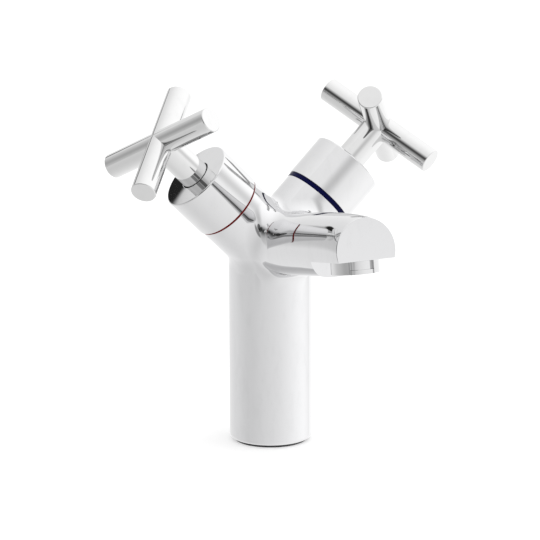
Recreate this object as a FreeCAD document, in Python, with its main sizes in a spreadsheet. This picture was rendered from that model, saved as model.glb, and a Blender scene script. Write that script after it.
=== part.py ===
import FreeCAD, Part
import os
import re
import Sketcher

# Two-handle deck mixer with cross handles, in millimetres.
# +Z is up, the origin is the middle of the base on the deck, and the spout points along -Y.
# The hot valve is on -X and the cold valve on +X, seen from the front.
# Pieces of a valve are drawn with their own z along the arm's axis, counted from the head's centre.
# Pieces of the aerator are drawn with their own z pointing up out of the spout's flat underside.

SIZES = [
    # column and base
    ("column_dia", 45.0),
    ("column_wall", 3.3),
    ("foot_radius", 2.5),
    ("deck_gap", 1.2),
    ("gasket_inset", 3.0),
    ("gasket_thick", 2.2),
    ("gasket_clear", 0.1),
    ("base_plate", 15.0),
    ("web_thick", 3.0),
    ("waterway_drop", 22.2),
    ("inlet_tap_dia", 9.0),
    ("inlet_side", 8.5),
    ("inlet_back", 5.0),
    ("stud_tap_dia", 6.8),
    ("stud_depth", 12.0),
    ("stud_front", 10.5),
    ("gasket_hole_clear", 1.0),
    # head and valve arms
    ("head_z", 106.2),
    ("arm_front", 3.0),
    ("arm_tilt", 46.0),
    ("arm_inset", 0.6),
    ("shroud_foot", 38.6),
    ("hot_ring_show", 1.2),
    ("cold_ring_show", 2.5),
    ("spigot_rise", 4.4),
    ("valve_seat", 13.0),
    ("chamber_depth", 13.0),
    ("riser_dia", 9.0),
    ("riser_side", 10.0),
    ("riser_back", 1.0),
    ("riser_rise", 5.8),
    ("seat_drill_dia", 9.0),
    ("seat_drill_depth", 9.0),
    ("mix_port_dia", 8.0),
    ("mix_port_rise", 12.6),
    ("mix_port_reach", 14.0),
    # spout
    ("spout_reach", 107.0),
    ("spout_lift", 1.24),
    ("spout_rise", 8.9),
    ("spout_radius", 17.0),
    ("chord_drop", 4.75),
    ("crown_rise", 1.9),
    ("nose_length", 22.0),
    ("spout_root_gap", 8.0),
    ("spout_wall", 4.0),
    ("passage_front", 29.0),
    ("passage_root_gap", 10.0),
    ("keel_front", 14.0),
    ("keel_back", 34.0),
    ("keel_width", 27.6),
    ("keel_depth", 14.3),
    ("keel_relief", 8.0),
    ("keel_relief_back", 30.0),
    # aerator
    ("aerator_back", 13.0),
    ("socket_dia", 23.5),
    ("socket_depth", 8.0),
    ("socket_roof", 2.5),
    ("thread_clear", 0.05),
    ("collar_step", 0.85),
    ("collar_clear", 0.3),
    ("collar_drop", 6.8),
    ("housing_wall", 1.7),
    ("mouth_step", 0.8),
    ("mouth_lip", 0.9),
    ("notch_span", 61.0),
    ("notch_start", 49.5),
    ("notch_cut", 1.5),
    ("ledge_cut", 0.5),
    ("ledge_height", 2.3),
    ("washer_thick", 1.0),
    ("washer_step", 1.0),
    ("insert_clear", 0.1),
    ("insert_height", 8.0),
    ("screen_thick", 0.6),
    ("screen_hole_dia", 1.6),
    ("jet_hole_dia", 2.2),
    ("jet_inset", 2.9),
    ("jet_pitch", 3.4),
    # valve cartridge
    ("cartridge_thread_dia", 20.6),
    ("thread_depth", 0.4),
    ("thread_lead", 1.0),
    ("thread_stop", 4.0),
    ("barrel_inset", 1.5),
    ("barrel_wall", 1.2),
    ("barrel_gap", 1.0),
    ("disc_clear", 0.1),
    ("fixed_disc_thick", 3.0),
    ("moving_disc_thick", 2.8),
    ("disc_film", 0.02),
    ("disc_port_dia", 8.8),
    ("disc_middle_dia", 2.4),
    ("disc_port_span", 80.0),
    ("seal_height", 2.5),
    ("seal_margin", 0.4),
    ("window_width", 8.0),
    ("window_height", 5.0),
    ("flange_cover", 0.4),
    ("flange_thick", 2.0),
    ("hex_flats", 19.0),
    ("hex_height", 6.0),
    ("neck_wall", 1.95),
    ("neck_height", 3.0),
    ("ring_cord", 1.66),
    ("ring_seat_clear", 0.02),
    # spindle and its small parts
    ("shaft_step", 0.5),
    ("shaft_clear", 0.05),
    ("dog_clear", 0.6),
    ("dog_height", 3.0),
    ("key_width", 4.0),
    ("key_depth", 1.4),
    ("key_clear", 0.1),
    ("glide_thick", 0.8),
    ("glide_clear", 0.1),
    ("shaft_ring_low", 32.0),
    ("shaft_ring_pitch", 5.0),
    ("shaft_ring_cord", 1.1),
    ("clip_thick", 0.9),
    ("clip_reach", 1.7),
    ("clip_gap", 3.0),
    ("clip_groove", 0.6),
    ("clip_clear", 0.1),
    ("spline_dia", 8.0),
    ("spline_lead", 1.5),
    ("spline_past_grub", 4.5),
    ("spline_tooth", 0.45),
    ("spline_clear", 0.05),
    ("spline_end_room", 1.0),
    # shroud, index ring and handle
    ("shroud_dia", 40.0),
    ("shroud_wall", 2.75),
    ("shroud_length", 25.0),
    ("shroud_lid", 2.6),
    ("shroud_edge", 0.8),
    ("stem_gap", 0.5),
    ("index_inset", 0.5),
    ("stem_dia", 16.0),
    ("stem_lead", 2.0),
    ("cross_rise", 26.9),
    ("rod_dia", 13.4),
    ("rod_length", 72.9),
    ("rod_edge", 0.5),
    ("hot_turn_at_rest", 36.2),
    ("cold_turn_at_rest", 41.1),
    ("grub_rise", 4.9),
    ("grub_dia", 4.6),
    ("grub_sink", 0.75),
    ("grub_clear", 0.05),
    ("grub_key_flats", 2.5),
    ("grub_key_depth", 1.8),
]
SPLINE_TEETH = 20
JET_HOLES = 12
INNER_JET_HOLES = 6
SCREEN_RINGS = 4
HOLES_IN_FIRST_RING = 6
SIDES = ["hot", "cold"]
NAMES = sorted([name for name, number in SIZES], key=len, reverse=True)
WORD = re.compile(r"\b(" + "|".join(NAMES) + r")\b")

doc = FreeCAD.newDocument("cross_handle_mixer")
sheet = doc.addObject("Spreadsheet::Sheet", "Dims")
for row, (alias, number) in enumerate(SIZES, start=1):
    sheet.set(f"A{row}", alias)
    sheet.set(f"B{row}", str(number))
    sheet.setAlias(f"B{row}", alias)
doc.recompute()


# --- expressions -------------------------------------------------------------------------------


def terms(text):
    """The expression with each size's name turned into its spreadsheet cell."""
    return WORD.sub(r"Dims.\1", str(text))


def value(text):
    """The expression's number, from the spreadsheet as it stands."""
    return float(sheet.evalExpression(terms(text)))


def bind(item, **properties):
    """Binds properties of an object to expressions of the sizes."""
    for name, text in properties.items():
        item.setExpression(name, terms(text))
    return item


def place(item, text):
    """Binds an object's Placement to an expression."""
    item.setExpression("Placement", terms(text))
    return item


def at(x="0", y="0", z="0", axis="0; 0; 1", angle="0"):
    """A placement expression: a point, and a turn about an axis."""
    return f"placement(vector({x}; {y}; {z}); rotation(vector({axis}); {angle}))"


def arm_frame(side, turn="0"):
    """The frame of one valve arm: z along the arm from the head's centre, turned about that axis."""
    tilt = "-arm_tilt" if side == "hot" else "arm_tilt"
    return at(y="-arm_front", z="head_z", axis="0; 1; 0", angle=tilt) + " * " + at(angle=turn)


# The spout's own frame: origin in the middle of the round of the end face, z back along the spout
# and y square to it, upwards.
SPOUT_FRAME = (
    at(
        y="-spout_reach",
        z="head_z + spout_lift + spout_reach * tan(spout_rise)",
        axis="1; 0; 0",
        angle="-90 - spout_rise",
    )
    + " * "
    + at(angle="180")
)
# The aerator's own frame: origin on the flat underside, z upwards and y towards the end face.
AERATOR_FRAME = SPOUT_FRAME + " * " + at(y="-chord_drop", z="aerator_back", axis="1; 0; 0", angle="-90")

# The spout behind its nose is a round of a slightly larger radius through the same chord corners.
HALF_CHORD_SQUARED = "(spout_radius ^ 2 - chord_drop ^ 2)"
CROWN = "(spout_radius + crown_rise)"
CROWN_SPAN = f"({CROWN} + chord_drop)"
CROWN_RADIUS = f"(({HALF_CHORD_SQUARED} + {CROWN_SPAN} ^ 2) / (2 * {CROWN_SPAN}))"
CROWN_CENTRE = f"({CROWN} - {CROWN_RADIUS})"
SPOUT_ROOT = "(spout_reach - spout_root_gap)"

# Radii and heights that several pieces share; heights are along an arm, from the head's centre.
WATERWAY_TOP = "(head_z - waterway_drop)"
GASKET_RADIUS = "(column_dia / 2 - gasket_inset)"
ARM_RADIUS = "(shroud_dia / 2 - arm_inset)"
SPIGOT_RADIUS = "(shroud_dia / 2 - shroud_wall - thread_clear)"
SPIGOT_TOP = "(shroud_foot + spigot_rise)"
CHAMBER_RADIUS = "(cartridge_thread_dia / 2 - thread_depth)"
BARREL_RADIUS = "(cartridge_thread_dia / 2 - barrel_inset)"
DISC_BORE_RADIUS = f"({BARREL_RADIUS} - barrel_wall)"
RING_SEAT_RADIUS = "(cartridge_thread_dia / 2 + 2 * ring_seat_clear + ring_cord)"
DOG_RADIUS = f"({DISC_BORE_RADIUS} - dog_clear)"
SHAFT_RADIUS = "(spline_dia / 2 + shaft_step)"
SHAFT_BORE_RADIUS = f"({SHAFT_RADIUS} + shaft_clear)"
DISC_LOW = "(valve_seat + seal_height)"
DISC_JOIN = f"({DISC_LOW} + fixed_disc_thick)"
MOVING_LOW = f"({DISC_JOIN} + disc_film)"
MOVING_TOP = f"({MOVING_LOW} + moving_disc_thick)"
DOG_TOP = f"({MOVING_TOP} + dog_height)"
GLIDE_TOP = f"({DOG_TOP} + glide_thick)"
BARREL_LOW = "(valve_seat + barrel_gap)"
THREAD_LOW = "(valve_seat + chamber_depth + thread_lead)"
THREAD_TOP = f"({SPIGOT_TOP} - thread_stop)"
HEX_LOW = f"({SPIGOT_TOP} + flange_thick)"
NECK_LOW = f"({HEX_LOW} + hex_height)"
NECK_TOP = f"({NECK_LOW} + neck_height)"
CLIP_LOW = f"({NECK_TOP} + clip_clear)"
CLIP_TOP = f"({CLIP_LOW} + clip_thick)"
SPLINE_LOW = f"({CLIP_TOP} + spline_lead)"
STEM_LOW = f"({CLIP_TOP} + stem_lead)"
SHROUD_TOP = "(shroud_foot + shroud_length)"
GRUB_HEIGHT = f"({SHROUD_TOP} + grub_rise)"
SPLINE_TOP = f"({GRUB_HEIGHT} + spline_past_grub)"
CROSS_HEIGHT = f"({SHROUD_TOP} + cross_rise)"

# Radii and a height of the aerator, from its own frame's axis and origin.
COLLAR_RADIUS = "(socket_dia / 2 + collar_step)"
HOUSING_RADIUS = "(socket_dia / 2 - thread_clear)"
HOUSING_BORE_RADIUS = f"({HOUSING_RADIUS} - housing_wall)"
MOUTH_RADIUS = f"({HOUSING_BORE_RADIUS} - mouth_step)"
WASHER_BORE_RADIUS = f"({HOUSING_BORE_RADIUS} - washer_step)"
INSERT_RADIUS = f"({HOUSING_BORE_RADIUS} - insert_clear)"
JET_RING_RADIUS = f"({INSERT_RADIUS} - jet_inset)"
HOUSING_TOP = "(socket_depth - washer_thick)"


# --- primitives and booleans -------------------------------------------------------------------


def cylinder(name, radius, height, where=None, sweep="360"):
    """A cylinder that stands on its own origin, or a wedge of one where sweep is under a full turn."""
    item = doc.addObject("Part::Cylinder", name)
    bind(item, Radius=radius, Height=height, Angle=sweep)
    if where:
        place(item, where)
    return item


def box(name, length, width, height, where):
    """A block whose corner is at its placement's point."""
    item = doc.addObject("Part::Box", name)
    bind(item, Length=length, Width=width, Height=height)
    return place(item, where)


def torus(name, major, minor, where):
    """A ring of round section about its placement's point."""
    item = doc.addObject("Part::Torus", name)
    bind(item, Radius1=major, Radius2=minor)
    return place(item, where)


def hexagon(name, flats, height, where):
    """A six-sided prism of a width across flats."""
    item = doc.addObject("Part::Prism", name)
    item.Polygon = 6
    bind(item, Circumradius=f"{flats} / sqrt(3)", Height=height)
    return place(item, where)


def fuse(name, shapes, refine=True):
    """One solid of several."""
    item = doc.addObject("Part::MultiFuse", name)
    item.Shapes = shapes
    item.Refine = refine
    return item


def cut(name, base, tools):
    """A solid less one or several others."""
    tool = tools[0] if len(tools) == 1 else fuse(name + "_voids", tools, refine=False)
    item = doc.addObject("Part::Cut", name)
    item.Base = base
    item.Tool = tool
    return item


def round_edges(name, base, radius, wanted):
    """Rounds the circular edges of a solid whose middle height, along its own z, is in wanted."""
    doc.recompute()
    heights = [value(text) for text in wanted]
    picked = []
    for number, edge in enumerate(base.Shape.Edges, start=1):
        is_round = isinstance(edge.Curve, Part.Circle)
        if is_round and any(abs(edge.CenterOfMass.z - height) < 1e-4 for height in heights):
            picked.append((number, value(radius), value(radius)))
    item = doc.addObject("Part::Fillet", name)
    item.Base = base
    item.Edges = picked
    return item


# --- sketched bodies ---------------------------------------------------------------------------


def origin_plane(body, role):
    """One of a body's own origin planes."""
    return next(feature for feature in body.Origin.OriginFeatures if feature.Role == role)


def fixed_outline(sketch, points, rounds):
    """A closed outline, anticlockwise, whose corners are held by expressions of the sizes. Its sides
    are straight, but for those in rounds, which bulge outwards at a radius."""
    corners = [FreeCAD.Vector(value(across), value(along), 0) for across, along in points]
    for number, start in enumerate(corners):
        end = corners[(number + 1) % len(corners)]
        if number in rounds:
            sketch.addGeometry(bulge(start, end, value(rounds[number])), False)
        else:
            sketch.addGeometry(Part.LineSegment(start, end), False)
    for number in range(len(points)):
        sketch.addConstraint(Sketcher.Constraint("Coincident", number, 2, (number + 1) % len(points), 1))
    for number, (across, along) in enumerate(points):
        hold(sketch, "DistanceX", number, across, corners[number].x)
        hold(sketch, "DistanceY", number, along, corners[number].y)
    for number, radius in rounds.items():
        index = sketch.addConstraint(Sketcher.Constraint("Radius", number, value(radius)))
        sketch.setExpression(f"Constraints[{index}]", terms(radius))


def bulge(start, end, radius):
    """The arc of a radius from start to end, out on the right-hand side of the way it runs."""
    chord = end - start
    outward = FreeCAD.Vector(chord.y, -chord.x, 0) / chord.Length
    rise = radius - (radius**2 - (chord.Length / 2) ** 2) ** 0.5
    return Part.Arc(start, (start + end) / 2 + outward * rise, end)


def hold(sketch, kind, line, text, number):
    """Holds a line's start at a distance from the sketch's origin, which follows an expression."""
    index = sketch.addConstraint(Sketcher.Constraint(kind, -1, 1, line, 1, number))
    sketch.setExpression(f"Constraints[{index}]", terms(text))


def turned(name, points, where=None, rounds=None):
    """A turned piece: the outline of half its section, as (radius, height), about its own z axis."""
    body = doc.addObject("PartDesign::Body", name)
    sketch = body.newObject("Sketcher::SketchObject", name + "_section")
    sketch.AttachmentSupport = [(origin_plane(body, "XZ_Plane"), "")]
    sketch.MapMode = "FlatFace"
    fixed_outline(sketch, points, rounds or {})
    turn = body.newObject("PartDesign::Revolution", name + "_turn")
    turn.Profile = sketch
    turn.ReferenceAxis = (sketch, ["V_Axis"])
    turn.Angle = 360
    body.Tip = turn
    if where:
        place(body, where)
    return body


def ring_outline(inner, outer, low, high):
    """The section of a flat ring."""
    return [(inner, low), (outer, low), (outer, high), (inner, high)]


def spout_section(name, radius, centre, back):
    """A D-shaped wire: a round whose flat lies chord_drop under the spout's axis."""
    sketch = doc.addObject("Sketcher::SketchObject", name)
    round_radius = value(radius)
    middle = FreeCAD.Vector(0, value(centre), 0)
    drop = value("chord_drop") + middle.y
    half = (round_radius**2 - drop**2) ** 0.5
    left = FreeCAD.Vector(-half, -value("chord_drop"), 0)
    right = FreeCAD.Vector(half, -value("chord_drop"), 0)
    top = FreeCAD.Vector(0, middle.y + round_radius, 0)
    sketch.addGeometry(Part.Arc(right, top, left), False)
    sketch.addGeometry(Part.LineSegment(left, right), False)
    sketch.addConstraint(Sketcher.Constraint("Coincident", 0, 2, 1, 1))
    sketch.addConstraint(Sketcher.Constraint("Coincident", 0, 1, 1, 2))
    sketch.addConstraint(Sketcher.Constraint("PointOnObject", 0, 3, -2))
    sketch.addConstraint(Sketcher.Constraint("Horizontal", 1))
    size = sketch.addConstraint(Sketcher.Constraint("Radius", 0, round_radius))
    sketch.setExpression(f"Constraints[{size}]", terms(radius))
    rise = sketch.addConstraint(Sketcher.Constraint("DistanceY", -1, 1, 0, 3, middle.y))
    sketch.setExpression(f"Constraints[{rise}]", terms(centre))
    fall = sketch.addConstraint(Sketcher.Constraint("DistanceY", -1, 1, 1, 1, -value("chord_drop")))
    sketch.setExpression(f"Constraints[{fall}]", terms("-chord_drop"))
    return place(sketch, SPOUT_FRAME + " * " + at(z=back))


# --- the tap's body ----------------------------------------------------------------------------

REACH_PAST = "5"  # how far a cutting shape runs past the skin that it opens


def spout_cylinder(name, radius, front, back):
    """A round along the spout, about the crown's centre line, between two distances behind the face."""
    return cylinder(name, radius, f"{back} - {front}", SPOUT_FRAME + " * " + at(y=CROWN_CENTRE, z=front))


def spout_box(name, width, low, high, front, back, side="0"):
    """A block in the spout's frame, across its middle plane or beside it."""
    corner = at(x=f"{side} - {width} / 2", y=low, z=front)
    return box(name, width, f"{high} - ({low})", f"{back} - ({front})", SPOUT_FRAME + " * " + corner)


def spout_skin():
    """The spout's outside: a nose that widens from the end face, the round behind it, and the keel
    under the flat, which wraps the back half of the aerator."""
    nose = doc.addObject("Part::Loft", "spout_nose")
    nose.Sections = [
        spout_section("face_outline", "spout_radius", "0", "0"),
        spout_section("crown_outline", CROWN_RADIUS, CROWN_CENTRE, "nose_length"),
    ]
    nose.Solid = True
    nose.Ruled = True
    barrel = spout_cylinder("spout_round", CROWN_RADIUS, "keel_front", SPOUT_ROOT)
    wide = "4 * spout_radius"
    deep = "-2 * spout_radius"
    above_nose = spout_box(
        "above_keel", wide, "-chord_drop", f"2 * {CROWN}", f"keel_front - {REACH_PAST}", "nose_length"
    )
    flanks = [
        spout_box(
            f"{hand}_flank",
            "spout_radius",
            deep,
            "-chord_drop",
            f"keel_front - {REACH_PAST}",
            "keel_back",
            side=f"{sign} * (keel_width + spout_radius) / 2",
        )
        for hand, sign in (("left", "-1"), ("right", "1"))
    ]
    under = spout_box("under_belly", wide, deep, "-keel_depth", f"keel_front - {REACH_PAST}", SPOUT_ROOT)
    relief = box(
        "keel_nose_relief",
        wide,
        "spout_radius",
        "2 * keel_relief_back",
        SPOUT_FRAME
        + " * "
        + at(y="-keel_depth", z="keel_relief_back", axis="1; 0; 0", angle="keel_relief")
        + " * "
        + at(x="-2 * spout_radius", y="-spout_radius", z="-2 * keel_relief_back"),
    )
    barrel = cut("spout_belly", barrel, [above_nose, *flanks, under, relief])
    return [nose, barrel]


def body_skin():
    """The outside of the casting: column, domed head, the two valve arms with their spigots, spout."""
    column = turned(
        "column_skin",
        [
            ("0", "deck_gap"),
            ("column_dia / 2 - foot_radius", "deck_gap"),
            ("column_dia / 2", "deck_gap + foot_radius"),
            ("column_dia / 2", "head_z"),
            ("0", "head_z + column_dia / 2"),
        ],
        rounds={1: "foot_radius", 3: "column_dia / 2"},
    )
    arms = []
    for side in SIDES:
        mouth = f"(shroud_foot - {side}_ring_show)"
        arms.append(cylinder(f"{side}_arm", ARM_RADIUS, mouth, arm_frame(side)))
        arms.append(cylinder(f"{side}_spigot", SPIGOT_RADIUS, SPIGOT_TOP, arm_frame(side)))
    return fuse("body_skin", [column, *arms, *spout_skin()])


def base_voids():
    """The gasket's recess, the threaded inlets and stud hole, and the two waterways up the column."""
    recess = cylinder("gasket_recess", f"{GASKET_RADIUS} + gasket_clear", "gasket_thick")
    stud = cylinder("stud_hole", "stud_tap_dia / 2", "gasket_thick + stud_depth", at(y="-stud_front"))
    hollow = cylinder(
        "column_hollow",
        "column_dia / 2 - column_wall",
        f"{WATERWAY_TOP} - gasket_thick - base_plate",
        at(z="gasket_thick + base_plate"),
    )
    web = box(
        "column_web",
        "web_thick",
        "column_dia",
        WATERWAY_TOP,
        at(x="-web_thick / 2", y="-column_dia / 2"),
    )
    voids = [recess, stud, cut("column_waterways", hollow, [web])]
    for side, sign in (("hot", "-1"), ("cold", "1")):
        voids.append(
            cylinder(
                f"{side}_inlet_hole",
                "inlet_tap_dia / 2",
                f"gasket_thick + base_plate + {REACH_PAST}",
                at(x=f"{sign} * inlet_side", y="inlet_back"),
            )
        )
        voids.append(
            cylinder(
                f"{side}_riser",
                "riser_dia / 2",
                f"waterway_drop + riser_rise + {REACH_PAST}",
                at(x=f"{sign} * riser_side", y="riser_back", z=f"{WATERWAY_TOP} - {REACH_PAST}"),
            )
        )
    return voids


def valve_voids(side):
    """In one arm: the drilling to the seat, the valve chamber, the threaded bore and its ring seat."""
    frame = arm_frame(side) + " * "
    return [
        cylinder(
            f"{side}_seat_drill",
            "seat_drill_dia / 2",
            f"seat_drill_depth + {REACH_PAST}",
            frame + at(z="valve_seat - seat_drill_depth"),
        ),
        cylinder(
            f"{side}_chamber",
            CHAMBER_RADIUS,
            f"chamber_depth + {REACH_PAST}",
            frame + at(z="valve_seat"),
        ),
        cylinder(
            f"{side}_thread_bore",
            "cartridge_thread_dia / 2 + thread_clear",
            f"{SPIGOT_TOP} - valve_seat - chamber_depth + {REACH_PAST}",
            frame + at(z="valve_seat + chamber_depth"),
        ),
        cylinder(
            f"{side}_ring_seat",
            RING_SEAT_RADIUS,
            f"ring_cord + ring_seat_clear + {REACH_PAST}",
            frame + at(z=f"{SPIGOT_TOP} - ring_cord - ring_seat_clear"),
        ),
    ]


def spout_voids():
    """The mixing port between the valve chambers, the spout's waterway and the aerator's socket."""
    port = cylinder(
        "mixing_port",
        "mix_port_dia / 2",
        "2 * mix_port_reach",
        at(
            x="-mix_port_reach",
            y=f"-arm_front - {CHAMBER_RADIUS}",
            z="head_z + mix_port_rise",
            axis="0; 1; 0",
            angle="90",
        ),
    )
    bore = "spout_radius - spout_wall"
    passage = spout_cylinder("spout_passage", bore, "passage_front", "spout_reach - passage_root_gap")
    over_socket = spout_cylinder("passage_over_socket", bore, "spout_wall", f"passage_front + {REACH_PAST}")
    floor = spout_box(
        "under_passage_end",
        "4 * spout_radius",
        "-2 * spout_radius",
        "socket_depth + socket_roof - chord_drop",
        "0",
        f"passage_front + 2 * {REACH_PAST}",
    )
    socket = cylinder("aerator_socket", "socket_dia / 2", "socket_depth", AERATOR_FRAME)
    way_up = cylinder("aerator_way_up", WASHER_BORE_RADIUS, f"socket_depth + {REACH_PAST}", AERATOR_FRAME)
    collar_room = cylinder(
        "collar_room",
        f"{COLLAR_RADIUS} + collar_clear",
        "spout_radius",
        AERATOR_FRAME + " * " + at(z="-spout_radius"),
    )
    return [port, passage, cut("passage_end", over_socket, [floor]), socket, way_up, collar_room]


def tap_body():
    """The one-piece casting that carries everything else."""
    voids = base_voids() + valve_voids("hot") + valve_voids("cold") + spout_voids()
    return cut("tap_body", body_skin(), voids)


# --- base and aerator --------------------------------------------------------------------------


def base_gasket():
    """The rubber disc under the column, with clearance holes for the stud and both hoses."""
    disc = cylinder("gasket_disc", GASKET_RADIUS, "gasket_thick")
    holes = [
        cylinder(
            "gasket_stud_hole",
            "stud_tap_dia / 2 + gasket_hole_clear",
            "gasket_thick",
            at(y="-stud_front"),
        )
    ]
    for side, sign in (("hot", "-1"), ("cold", "1")):
        holes.append(
            cylinder(
                f"gasket_{side}_hole",
                "inlet_tap_dia / 2 + gasket_hole_clear",
                "gasket_thick",
                at(x=f"{sign} * inlet_side", y="inlet_back"),
            )
        )
    return cut("base_gasket", disc, holes)


def aerator_housing():
    """The screwed ring with its collar, which has two opposite spanner notches with a low ledge."""
    ring = turned(
        "aerator_ring",
        [
            (MOUTH_RADIUS, "-collar_drop"),
            (COLLAR_RADIUS, "-collar_drop"),
            (COLLAR_RADIUS, "0"),
            (HOUSING_RADIUS, "0"),
            (HOUSING_RADIUS, HOUSING_TOP),
            (HOUSING_BORE_RADIUS, HOUSING_TOP),
            (HOUSING_BORE_RADIUS, "mouth_lip - collar_drop"),
            (MOUTH_RADIUS, "mouth_lip - collar_drop"),
        ],
    )
    notches = []
    for number, start in enumerate(["notch_start", "notch_start + 180"], start=1):
        for name, depth, low, high in (
            ("notch", "notch_cut", "ledge_height - collar_drop", "0"),
            ("ledge", "ledge_cut", "-collar_drop", "ledge_height - collar_drop"),
        ):
            wedge = cylinder(
                f"{name}_wedge_{number}",
                f"2 * {COLLAR_RADIUS}",
                f"{high} - ({low})",
                at(z=low, angle=start),
                sweep="notch_span",
            )
            core = cylinder(
                f"{name}_core_{number}", f"{COLLAR_RADIUS} - {depth}", f"{high} - ({low})", at(z=low)
            )
            notches.append(cut(f"aerator_{name}_{number}", wedge, [core]))
    return place(cut("aerator_housing", ring, notches), AERATOR_FRAME)


def hole_ring(name, count, radius, hole_dia, low, height):
    """Round holes in a ring about the axis."""
    return [
        cylinder(
            f"{name}_{number}",
            f"{hole_dia} / 2",
            height,
            at(angle=f"{number * 360 / count}") + " * " + at(x=radius, z=low),
        )
        for number in range(count)
    ]


def aerator_insert():
    """The plastic flow straightener, with two rings of jets and one in the middle."""
    low = "(mouth_lip - collar_drop)"
    inner = f"{JET_RING_RADIUS} - jet_pitch"
    plug = cylinder("insert_plug", INSERT_RADIUS, "insert_height", at(z=low))
    jets = hole_ring("jet", JET_HOLES, JET_RING_RADIUS, "jet_hole_dia", low, "insert_height")
    jets += hole_ring("inner_jet", INNER_JET_HOLES, inner, "jet_hole_dia", low, "insert_height")
    jets.append(cylinder("middle_jet", "jet_hole_dia / 2", "insert_height", at(z=low)))
    return place(cut("aerator_insert", plug, jets), AERATOR_FRAME)


def aerator_screen():
    """The pierced steel disc that lies on the insert."""
    low = "(mouth_lip - collar_drop + insert_height)"
    disc = cylinder("screen_disc", INSERT_RADIUS, "screen_thick", at(z=low))
    holes = [cylinder("screen_middle", "screen_hole_dia / 2", "screen_thick", at(z=low))]
    for ring in range(1, SCREEN_RINGS + 1):
        radius = f"{ring} * {INSERT_RADIUS} / ({SCREEN_RINGS} + 1 / 2)"
        count = ring * HOLES_IN_FIRST_RING
        holes += hole_ring(f"screen_{ring}", count, radius, "screen_hole_dia", low, "screen_thick")
    return place(cut("aerator_screen", disc, holes), AERATOR_FRAME)


def aerator_washer():
    """The flat rubber washer between the housing and the socket's end."""
    return turned(
        "aerator_washer",
        ring_outline(
            WASHER_BORE_RADIUS,
            f"{HOUSING_RADIUS} - thread_clear",
            HOUSING_TOP,
            "socket_depth",
        ),
        AERATOR_FRAME,
    )


# --- valves ------------------------------------------------------------------------------------


def cartridge_housing(side):
    """The brass housing that screws into the arm: barrel with two windows, thread, flange, hexagon."""
    name = f"{side}_cartridge_housing"
    flange = f"{RING_SEAT_RADIUS} + flange_cover"
    neck = f"{SHAFT_BORE_RADIUS} + neck_wall"
    turning = turned(
        f"{side}_housing_turning",
        [
            (DISC_BORE_RADIUS, BARREL_LOW),
            (BARREL_RADIUS, BARREL_LOW),
            (BARREL_RADIUS, THREAD_LOW),
            ("cartridge_thread_dia / 2", THREAD_LOW),
            ("cartridge_thread_dia / 2", THREAD_TOP),
            (CHAMBER_RADIUS, THREAD_TOP),
            (CHAMBER_RADIUS, SPIGOT_TOP),
            (flange, SPIGOT_TOP),
            (flange, HEX_LOW),
            (neck, HEX_LOW),
            (neck, NECK_TOP),
            (SHAFT_BORE_RADIUS, NECK_TOP),
            (SHAFT_BORE_RADIUS, f"{GLIDE_TOP} + glide_clear"),
            (DISC_BORE_RADIUS, f"{GLIDE_TOP} + glide_clear"),
        ],
    )
    spanner = hexagon(f"{side}_housing_hexagon", "hex_flats", "hex_height", at(z=HEX_LOW))
    solid = fuse(f"{side}_housing_blank", [turning, spanner])
    bore = cylinder(f"{side}_housing_bore", SHAFT_BORE_RADIUS, f"hex_height + {REACH_PAST}", at(z=HEX_LOW))
    windows = box(
        f"{side}_housing_windows",
        "window_width",
        f"4 * {BARREL_RADIUS}",
        "window_height",
        at(x="-window_width / 2", y=f"-2 * {BARREL_RADIUS}", z=MOVING_LOW),
    )
    return place(cut(name, solid, [bore, windows]), arm_frame(side))


def seat_seal(side):
    """The rubber ring that the cartridge presses on the seat."""
    inner = "disc_port_dia / 2 + seal_margin"
    outline = ring_outline(inner, f"{DISC_BORE_RADIUS} - disc_clear", "valve_seat", DISC_LOW)
    return turned(f"{side}_seat_seal", outline, arm_frame(side))


def half_disc(name, thick, low, clear):
    """A ceramic disc with a port on each side of its solid middle, each a little under a quarter."""
    blank = cylinder(name + "_blank", f"{DISC_BORE_RADIUS} - {clear}", thick, at(z=low))
    middle = cylinder(name + "_middle", "disc_middle_dia / 2", thick, at(z=low))
    ports = []
    for start in (0, 180):
        where = at(z=low, angle=start)
        wedge = cylinder(f"{name}_wedge_{start}", "disc_port_dia / 2", thick, where, "disc_port_span")
        ports.append(cut(f"{name}_port_{start}", wedge, [middle]))
    return cut(name, blank, ports)


def fixed_disc(side):
    """The lower ceramic disc, held still by the housing a quarter turn on from the upper one."""
    disc = half_disc(f"{side}_fixed_disc", "fixed_disc_thick", DISC_LOW, "disc_clear")
    quarter = "90" if side == "hot" else "-90"
    return place(disc, arm_frame(side, f"{handle_turn(side)} + {quarter}"))


def moving_disc(side):
    """The upper ceramic disc: closed at rest, a quarter turn brings its ports over the lower ones.
    A slot across its top takes the spindle's key."""
    name = f"{side}_moving_disc"
    ported = half_disc(f"{name}_ported", "moving_disc_thick", MOVING_LOW, "4 * disc_clear")
    slot = box(
        f"{name}_slot",
        f"2 * {DISC_BORE_RADIUS}",
        "key_width + 2 * key_clear",
        "key_depth + key_clear",
        at(
            x=f"-{DISC_BORE_RADIUS}",
            y="-key_width / 2 - key_clear",
            z=f"{MOVING_TOP} - key_depth - key_clear",
        ),
    )
    return place(cut(name, ported, [slot]), arm_frame(side, handle_turn(side)))


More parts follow.
